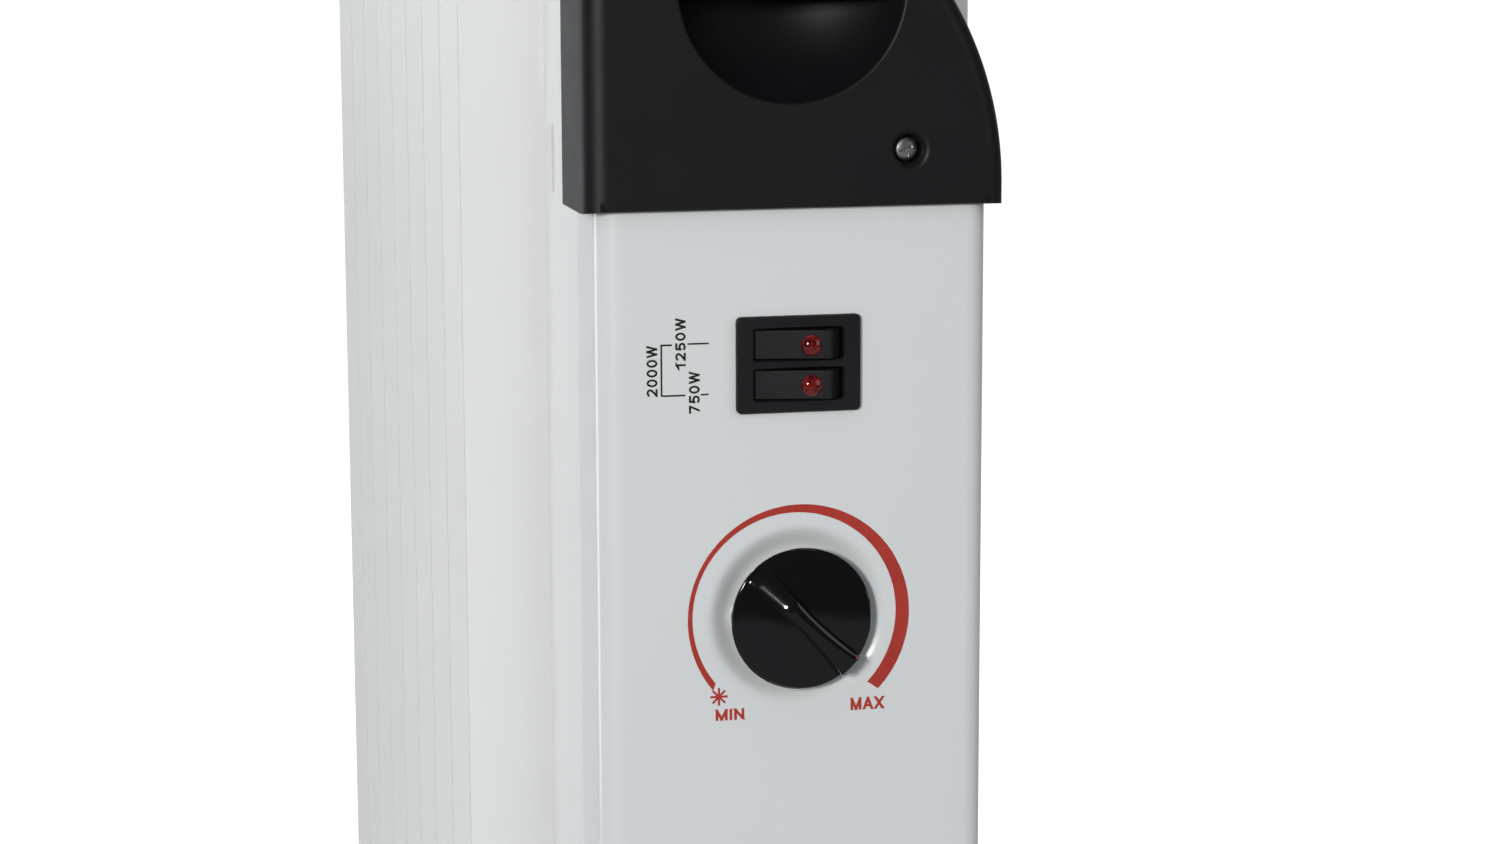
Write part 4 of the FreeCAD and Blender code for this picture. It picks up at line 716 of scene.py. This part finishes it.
def bar(shape, left, right, bottom, top, turnDegrees=0.0, extra=0.0):
    centre = Vector(((left + right) / 2, (bottom + top) / 2, 0))
    spin = Matrix.Rotation(radians(turnDegrees), 4, "Z")
    turn = Matrix.Translation(centre) @ spin @ Matrix.Translation(-centre)
    addPrism(shape, [(left, bottom), (right, bottom), (right, top), (left, top)], marks["lift"],
             marks["lift"] + marks["thick"] + extra, turn)


def buildAsterisk():
    shape = bmesh.new()
    for k in range(star["arms"]):
        bar(shape, star["x"] - star["reach"], star["x"] + star["reach"], star["y"] - star["half"],
            star["y"] + star["half"], 180.0 / star["arms"] * k, star["stagger"] * k)
    printOn("frostStar", shape, inkRed)


def buildLinks():
    shape = bmesh.new()
    # left, right, bottom and top of each line
    for left, right, bottom, top in ((-34.8, -34.4, 56.8, 69.6), (-34.8, -31.95, 69.25, 69.65),
            (-34.4, -28.7, 56.7, 57.1), (-28.06, -22.7, 69.38, 69.78), (-24.76, -22.85, 56.72, 57.12)):
        bar(shape, left, right, bottom, top)
    printOn("wattageLines", shape, inkBlack)


# Each letter is a width and its strokes, drawn along their middles in a unit tall space.
letters = {
    "0": (0.5, [arcPath(0.25, 0.5, 0.25, 0.5, 90, 450, 32)]),
    "1": (0.34, [[(0.26, 0), (0.26, 1)], [(0.03, 0.78), (0.26, 0.98)]]),
    "2": (0.5, [arcPath(0.25, 0.73, 0.25, 0.27, 165, -25) + [(0.37, 0.42), (0.2, 0.22), (0.02, 0.02)],
        [(0, 0), (0.5, 0)]]),
    "5": (0.5, [[(0.08, 1), (0.47, 1)], [(0.08, 1), (0.03, 0.5)],
        arcPath(0.24, 0.31, 0.26, 0.31, 142, -155)]),
    "7": (0.5, [[(0, 1), (0.5, 1)], [(0.5, 0.98), (0.18, 0)]]),
    "A": (0.62, [[(0, 0), (0.31, 1)], [(0.31, 1), (0.62, 0)], [(0.11, 0.28), (0.51, 0.28)]]),
    "I": (0.0, [[(0, 0), (0, 1)]]),
    "M": (0.68, [[(0, 0), (0, 1)], [(0, 1), (0.34, 0)], [(0.34, 0), (0.68, 1)],
        [(0.68, 1), (0.68, 0)]]),
    "N": (0.54, [[(0, 0), (0, 1)], [(0, 1), (0.54, 0)], [(0.54, 0), (0.54, 1)]]),
    "W": (0.84, [[(0, 1), (0.2, 0)], [(0.2, 0), (0.42, 1)], [(0.42, 1), (0.64, 0)],
        [(0.64, 0), (0.84, 1)]]),
    "X": (0.54, [[(0, 0), (0.54, 1)], [(0, 1), (0.54, 0)]]),
}
letterGap = 0.34
strokeStagger = 0.002


def addStroke(shape, path, thick, low, turn):
    half = thick / 2
    if len(path) == 2:
        (x0, y0), (x1, y1) = path
        long = hypot(x1 - x0, y1 - y0)
        if abs(y1 - y0) > 0.5 * long:
            wide, reach = half * long / abs(y1 - y0), copysign(half, y1 - y0)
            lean = (x1 - x0) / (y1 - y0) * reach
            outline = [(x0 - wide - lean, y0 - reach), (x0 + wide - lean, y0 - reach),
                       (x1 + wide + lean, y1 + reach), (x1 - wide + lean, y1 + reach)]
        else:
            wide = half * long / abs(x1 - x0)
            outline = [(x0 - half, y0 - wide), (x1 + half, y1 - wide), (x1 + half, y1 + wide),
                       (x0 - half, y0 + wide)]
        addPrism(shape, outline, low, low + marks["thick"], turn)
        return
    rows = []
    last = len(path) - 1
    closed = dist(path[0], path[last]) < 0.01
    for k in range(last if closed else last + 1):
        before = path[(k - 1) % last] if closed else path[max(0, k - 1)]
        after = path[(k + 1) % last] if closed else path[min(last, k + 1)]
        run = Vector((after[0] - before[0], after[1] - before[1])).normalized() * half
        x, y = path[k]
        rows.append([shape.verts.new(turn @ Vector(point)) for point in (
                (x - run.y, y + run.x, low), (x + run.y, y - run.x, low),
                (x + run.y, y - run.x, low + marks["thick"]),
                (x - run.y, y + run.x, low + marks["thick"]))])
    for lower, upper in zip(rows, rows[1:] + rows[:1] if closed else rows[1:]):
        for k in range(4):
            shape.faces.new((lower[k], lower[(k + 1) % 4], upper[(k + 1) % 4], upper[k]))
    if not closed:
        shape.faces.new(rows[0])
        shape.faces.new(rows[-1])


def buildWord(name, text, box, ink, upright, thick):
    # the word fills a box on the panel: left, right, bottom, top
    left, right, bottom, top = box
    long, tall = (right - left, top - bottom) if upright else (top - bottom, right - left)
    natural = sum(letters[letter][0] for letter in text) + letterGap * (len(text) - 1)
    stretch = (long - thick) / natural
    if upright:
        turn = Matrix.Translation((left, bottom, 0))
    else:
        turn = Matrix.Translation((right, bottom, 0)) @ Matrix.Rotation(radians(90), 4, "Z")
    shape = bmesh.new()
    start, count = 0.0, 0
    for letter in text:
        width, strokes = letters[letter]
        for stroke in strokes:
            path = [(thick / 2 + (start + x) * stretch, thick / 2 + y * (tall - thick))
                    for x, y in stroke]
            addStroke(shape, path, thick, marks["lift"] + strokeStagger * count, turn)
            count += 1
        start += width + letterGap
    printOn(name, shape, ink)


buildScaleRing()
buildAsterisk()
buildLinks()
buildWord("minWord", "MIN", (-21.4, -14.1, -25.7, -22.8), inkRed, True, 0.66)
buildWord("maxWord", "MAX", (13.4, 22.0, -25.0, -21.8), inkRed, True, 0.66)
buildWord("highWatts", "2000W", (-38.3, -35.6, 56.8, 69.4), inkBlack, False, 0.50)
buildWord("mediumWatts", "1250W", (-31.1, -28.5, 63.4, 76.0), inkBlack, False, 0.50)
buildWord("lowWatts", "750W", (-27.75, -25.05, 52.3, 62.7), inkBlack, False, 0.50)
print("printed marks")

fins = dict(width=140.0, bottom=70.0, top=630.0, corner=16.0, half=5.5, seam=0.9, channelWidth=24.0,
        channelSpacing=32.0, tankWidth=92.0, tankTall=64.0, tankRadius=24.0, lowHeader=115.0,
        highHeader=585.0, slope=7.0, columns=60, rows=150, pitch=37.0, first=-107.0)


def boxDistance(x, z, centreX, centreZ, halfX, halfZ, radius):
    dx = abs(x - centreX) - halfX + radius
    dz = abs(z - centreZ) - halfZ + radius
    return hypot(max(dx, 0), max(dz, 0)) + min(max(dx, dz), 0) - radius


def pressedHeight(x, z):
    middle = (fins["lowHeader"] + fins["highHeader"]) / 2
    halfRun = (fins["highHeader"] - fins["lowHeader"]) / 2
    half = fins["channelWidth"] / 2
    distances = [boxDistance(x, z, lane * fins["channelSpacing"], middle, half, halfRun, half - 0.1)
            for lane in (-1, 0, 1)]
    distances += [boxDistance(x, z, 0, header, fins["tankWidth"] / 2, fins["tankTall"] / 2,
            fins["tankRadius"]) for header in (fins["lowHeader"], fins["highHeader"])]
    nearest = min(distances)
    return fins["seam"] + (fins["half"] - fins["seam"]) * ramp01(-nearest / fins["slope"] + 0.12)


def buildFinMaster():
    shape = bmesh.new()
    halfWide = fins["width"] / 2
    columns, rows = fins["columns"], fins["rows"]
    sides = []
    for face in (-1, 1):
        grid = []
        for j in range(rows + 1):
            z = fins["bottom"] + (fins["top"] - fins["bottom"]) * j / rows
            fromEnd = min(z - fins["bottom"], fins["top"] - z)
            inset = 0.0
            if fromEnd < fins["corner"]:
                inset = fins["corner"] - sqrt(
                    max(0.0, fins["corner"] ** 2 - (fins["corner"] - fromEnd) ** 2))
            reach = halfWide - inset
            grid.append([shape.verts.new((reach * (2 * i / columns - 1),
                    face * pressedHeight(reach * (2 * i / columns - 1), z), z))
                    for i in range(columns + 1)])
        for j in range(rows):
            for i in range(columns):
                corners = (grid[j][i], grid[j][i + 1], grid[j + 1][i + 1], grid[j + 1][i])
                shape.faces.new(corners if face < 0 else tuple(reversed(corners)))
        border = ([grid[0][i] for i in range(columns + 1)]
                  + [grid[j][columns] for j in range(1, rows + 1)])
        border += ([grid[rows][i] for i in range(columns - 1, -1, -1)]
                   + [grid[j][0] for j in range(rows - 1, 0, -1)])
        sides.append(border)
    count = len(sides[0])
    for k in range(count):
        after = (k + 1) % count
        shape.faces.new((sides[0][after], sides[0][k], sides[1][k], sides[1][after]))
    return looseObject("finMaster", shape, finishes["fin_enamel"], onFloor)


def finRowTree():
    tree = bpy.data.node_groups.new("finRow", "GeometryNodeTree")
    face = tree.interface
    for label, kind in (("Fin", "NodeSocketObject"), ("Count", "NodeSocketInt"),
                        ("Pitch", "NodeSocketFloat"), ("First", "NodeSocketFloat"),
                        ("Enamel", "NodeSocketMaterial")):
        face.new_socket(label, in_out="INPUT", socket_type=kind)
    face.new_socket("Geometry", in_out="OUTPUT", socket_type="NodeSocketGeometry")
    add = tree.nodes.new
    inputs, outputs = add("NodeGroupInput"), add("NodeGroupOutput")
    line, info = add("GeometryNodeMeshLine"), add("GeometryNodeObjectInfo")
    startAt, stepBy = add("ShaderNodeCombineXYZ"), add("ShaderNodeCombineXYZ")
    scatter, real = add("GeometryNodeInstanceOnPoints"), add("GeometryNodeRealizeInstances")
    paint = add("GeometryNodeSetMaterial")
    link = tree.links.new
    link(inputs.outputs["Fin"], info.inputs["Object"])
    link(inputs.outputs["First"], startAt.inputs["Y"])
    link(inputs.outputs["Pitch"], stepBy.inputs["Y"])
    link(inputs.outputs["Count"], line.inputs["Count"])
    link(startAt.outputs["Vector"], line.inputs["Start Location"])
    link(stepBy.outputs["Vector"], line.inputs["Offset"])
    link(line.outputs["Mesh"], scatter.inputs["Points"])
    link(info.outputs["Geometry"], scatter.inputs["Instance"])
    link(scatter.outputs["Instances"], real.inputs["Geometry"])
    link(real.outputs["Geometry"], paint.inputs["Geometry"])
    link(inputs.outputs["Enamel"], paint.inputs["Material"])
    link(paint.outputs["Geometry"], outputs.inputs["Geometry"])
    return tree


def socketKey(tree, label):
    return next(item.identifier for item in tree.interface.items_tree if item.name == label
                and item.in_out == "INPUT")


def buildFins():
    master = buildFinMaster()
    smoothShade(master, 40.0)
    tree = finRowTree()
    for group in range(3):
        carrier = bpy.data.objects.new("finRow%d" % (group + 1), bpy.data.meshes.new("finRow"))
        scene.collection.objects.link(carrier)
        step = carrier.modifiers.new("row", "NODES")
        step.node_group = tree
        step[socketKey(tree, "Fin")] = master
        step[socketKey(tree, "Count")] = 3
        step[socketKey(tree, "Pitch")] = fins["pitch"] * mm
        step[socketKey(tree, "First")] = (fins["first"] + 3 * group * fins["pitch"]) * mm
        step[socketKey(tree, "Enamel")] = finishes["fin_enamel"]
        settle(carrier)
        finishPiece(carrier, "heater", "fin_enamel",
                    ["fin_%02d" % number for number in range(3 * group + 1, 3 * group + 4)], 40.0)
    bpy.data.objects.remove(master)


buildFins()
print("fins")

wheel = dict(radius=22.0, width=9.0, inner=4.6, hub=8.0, axleHeight=22.0, spokes=6, recess=1.8,
        rimWidth=3.0, spokeHalf=(1.0, 1.5))
casters = {"front_left": (-108.0, -76.5), "front_right": (108.0, -76.5),
           "rear_left": (-108.0, 182.5), "rear_right": (108.0, 182.5)}


def buildWheels():
    toAxle = Matrix.Rotation(radians(90), 4, "Y")
    for corner, (centreX, centreY) in casters.items():
        shape = bmesh.new()
        for side in (-1, 1):
            w, r = wheel["width"], wheel["radius"]
            start = centreX + (wheel["inner"] if side > 0 else -wheel["inner"] - w)
            out = w if side > 0 else 0.0
            tread = [(r - 1.6, 0.0), (r - 0.5, 0.4), (r, 1.4), (r, w / 2 - 0.5), (r - 0.5, w / 2 - 0.2),
                     (r - 0.5, w / 2 + 0.2), (r, w / 2 + 0.5), (r, w - 1.4), (r - 0.5, w - 0.4),
                     (r - 1.6, w)]
            floor = w - wheel["recess"]
            outerFace = [(r - wheel["rimWidth"], w), (r - 3.4, floor), (wheel["hub"] + 0.6, floor),
                    (wheel["hub"], w - 0.2), (wheel["hub"] - 0.6, w), (0.0, w)]
            innerFace = [(0.0, 0.0)]
            profile = innerFace + tread + outerFace
            if side < 0:
                profile = [(radius, w - along) for radius, along in profile]
            addLathe(shape, profile, (start, centreY, wheel["axleHeight"]), 72, toAxle)
            for k in range(wheel["spokes"]):
                angle = radians(360 * k / wheel["spokes"])
                inner, outer = wheel["spokeHalf"]
                spoke = [(wheel["hub"] - 1, -inner), (r - 2.6, -outer), (r - 2.6, outer),
                         (wheel["hub"] - 1, inner)]
                lowX = start + (out - 2.2 if side > 0 else out + 0.4)
                turn = (Matrix.Translation((0, centreY, wheel["axleHeight"]))
                        @ Matrix.Rotation(angle, 4, "X")
                        @ Matrix(((0, 0, 1, 0), (1, 0, 0, 0), (0, 1, 0, 0), (0, 0, 0, 1))))
                addPrism(shape, spoke, lowX, lowX + wheel["recess"], turn)
        piece = looseObject("wheels_" + corner, shape, finishes["wheel_black"], onFloor)
        finishPiece(piece, "wheels_" + corner, "wheel_black", ["caster_wheels_" + corner], 28.0)


buildWheels()
print("wheels")

studio = dict(floorSize=60.0, floorColour=(0.86, 0.87, 0.88), floorGlow=0.66, keyWatts=16.0,
        keySize=0.26, keyDistance=1.7, fillWatts=3.8, stripWatts=8.0, skyTop=0.52, skyLow=0.25,
        stripPlace=(-1.2, 0.9, 0.7), fillPlace=(1.6, -1.4, 1.0), backPlace=(0.8, 2.0, 1.6),
        keyWay=(-0.62, -1.0, 0.28), glossFront=0.04, glossBack=0.44, glossLow=0.22)


def buildFloor():
    shape = bmesh.new()
    addPrism(shape, roundedBox(-studio["floorSize"] / 2, studio["floorSize"] / 2,
            -studio["floorSize"] / 2, studio["floorSize"] / 2, 4.0, 8), -0.02, 0.0)
    material, tree, shader = newTree("floorPaper")
    mix = tree.nodes.new("ShaderNodeMix")
    mix.data_type = "RGBA"
    colour = studio["floorColour"]
    mix.inputs[6].default_value = (*colour, 1.0)
    mix.inputs[7].default_value = tuple(channel * 0.99 for channel in colour) + (1.0,)
    tree.links.new(spread(tree, noiseNode(tree, 3.0), 0.0, 1.0), mix.inputs[0])
    tree.links.new(mix.outputs[2], shader.inputs["Base Color"])
    shader.inputs["Roughness"].default_value = 0.8
    shader.inputs["Specular IOR Level"].default_value = 0.1
    shader.inputs["Emission Color"].default_value = (1.0, 1.0, 1.0, 1.0)
    shader.inputs["Emission Strength"].default_value = studio["floorGlow"]
    mesh = bpy.data.meshes.new("studioFloor")
    shape.to_mesh(mesh)
    shape.free()
    floor = bpy.data.objects.new("studioFloor", mesh)
    mesh.materials.append(material)
    scene.collection.objects.link(floor)
    floor.visible_glossy = False
    floor.visible_diffuse = False


def softLight(name, place, target, width, height, watts, colour=(1.0, 1.0, 1.0)):
    lamp = bpy.data.lights.new(name, "AREA")
    lamp.shape = "RECTANGLE"
    lamp.size, lamp.size_y = width, height
    lamp.energy = watts
    lamp.color = colour
    holder = bpy.data.objects.new(name, lamp)
    holder.location = place
    holder.rotation_euler = (Vector(target) - Vector(place)).to_track_quat("-Z", "Y").to_euler()
    scene.collection.objects.link(holder)


def buildLights():
    target = knobCentre + Vector((0, 0, 0.03))
    keyDirection = Vector(studio["keyWay"]).normalized()
    softLight("keyLight", target + keyDirection * studio["keyDistance"], target, studio["keySize"],
              studio["keySize"], studio["keyWatts"], (1.0, 0.985, 0.96))
    softLight("leftStrip", studio["stripPlace"], (0, 0, 0.5), 0.5, 1.6, studio["stripWatts"],
              (0.95, 0.98, 1.0))
    softLight("rightFill", studio["fillPlace"], (0, 0, 0.4), 1.2, 1.2, studio["fillWatts"])
    softLight("backFill", studio["backPlace"], (0, 0, 0.3), 1.6, 1.2, 2 * studio["fillWatts"])

    world = bpy.data.worlds.new("studio")
    scene.world = world
    world.use_nodes = True
    tree = world.node_tree
    tree.nodes.clear()
    link = tree.links.new
    path = tree.nodes.new("ShaderNodeLightPath")
    way = tree.nodes.new("ShaderNodeTexCoord")
    split = tree.nodes.new("ShaderNodeSeparateXYZ")
    link(way.outputs["Generated"], split.inputs["Vector"])

    def blendBy(axis, fromMin, fromMax, low, high):
        ramp = tree.nodes.new("ShaderNodeMapRange")
        ramp.interpolation_type = "SMOOTHSTEP"
        ramp.inputs["From Min"].default_value = fromMin
        ramp.inputs["From Max"].default_value = fromMax
        for label, value in (("To Min", low), ("To Max", high)):
            if isinstance(value, float):
                ramp.inputs[label].default_value = value
            else:
                link(value, ramp.inputs[label])
        link(split.outputs[axis], ramp.inputs["Value"])
        return ramp.outputs["Result"]

    white, soft, shine = [tree.nodes.new("ShaderNodeBackground") for _ in range(3)]
    white.inputs["Color"].default_value = (1.0, 1.0, 1.0, 1.0)
    soft.inputs["Color"].default_value = (0.93, 0.97, 1.0, 1.0)
    link(blendBy("Z", -0.3, 0.9, studio["skyLow"], studio["skyTop"]), soft.inputs["Strength"])
    shine.inputs["Color"].default_value = (0.92, 0.95, 1.0, 1.0)
    front = blendBy("Z", -0.24, -0.20, studio["glossLow"], studio["glossFront"])
    link(blendBy("Y", 0.25, 0.85, front, studio["glossBack"]), shine.inputs["Strength"])
    glossMix, cameraMix = [tree.nodes.new("ShaderNodeMixShader") for _ in range(2)]
    link(path.outputs["Is Glossy Ray"], glossMix.inputs[0])
    link(soft.outputs[0], glossMix.inputs[1])
    link(shine.outputs[0], glossMix.inputs[2])
    link(path.outputs["Is Camera Ray"], cameraMix.inputs[0])
    link(glossMix.outputs[0], cameraMix.inputs[1])
    link(white.outputs[0], cameraMix.inputs[2])
    output = tree.nodes.new("ShaderNodeOutputWorld")
    link(cameraMix.outputs[0], output.inputs["Surface"])
    scene.view_settings.view_transform = "Standard"


view = dict(lens=80.05, sensor=36.0, pitch=80.5247, heading=-12.9009, roll=-0.148,
        fromKnob=(-0.19354, -0.79083, 0.18504))


def buildCamera():
    lens = bpy.data.cameras.new("camera")
    lens.lens = view["lens"]
    lens.sensor_width = view["sensor"]
    lens.sensor_fit = "HORIZONTAL"
    lens.clip_start = 0.02
    lens.clip_end = 200.0
    camera = bpy.data.objects.new("camera", lens)
    aim = Euler((radians(view["pitch"]), 0.0, radians(view["heading"]))).to_matrix()
    aim = aim @ Matrix.Rotation(radians(view["roll"]), 3, "Z")
    camera.rotation_euler = aim.to_euler()
    camera.location = knobCentre + Vector(view["fromKnob"])
    scene.collection.objects.link(camera)
    scene.camera = camera


buildFloor()
buildLights()
buildCamera()
print("studio")
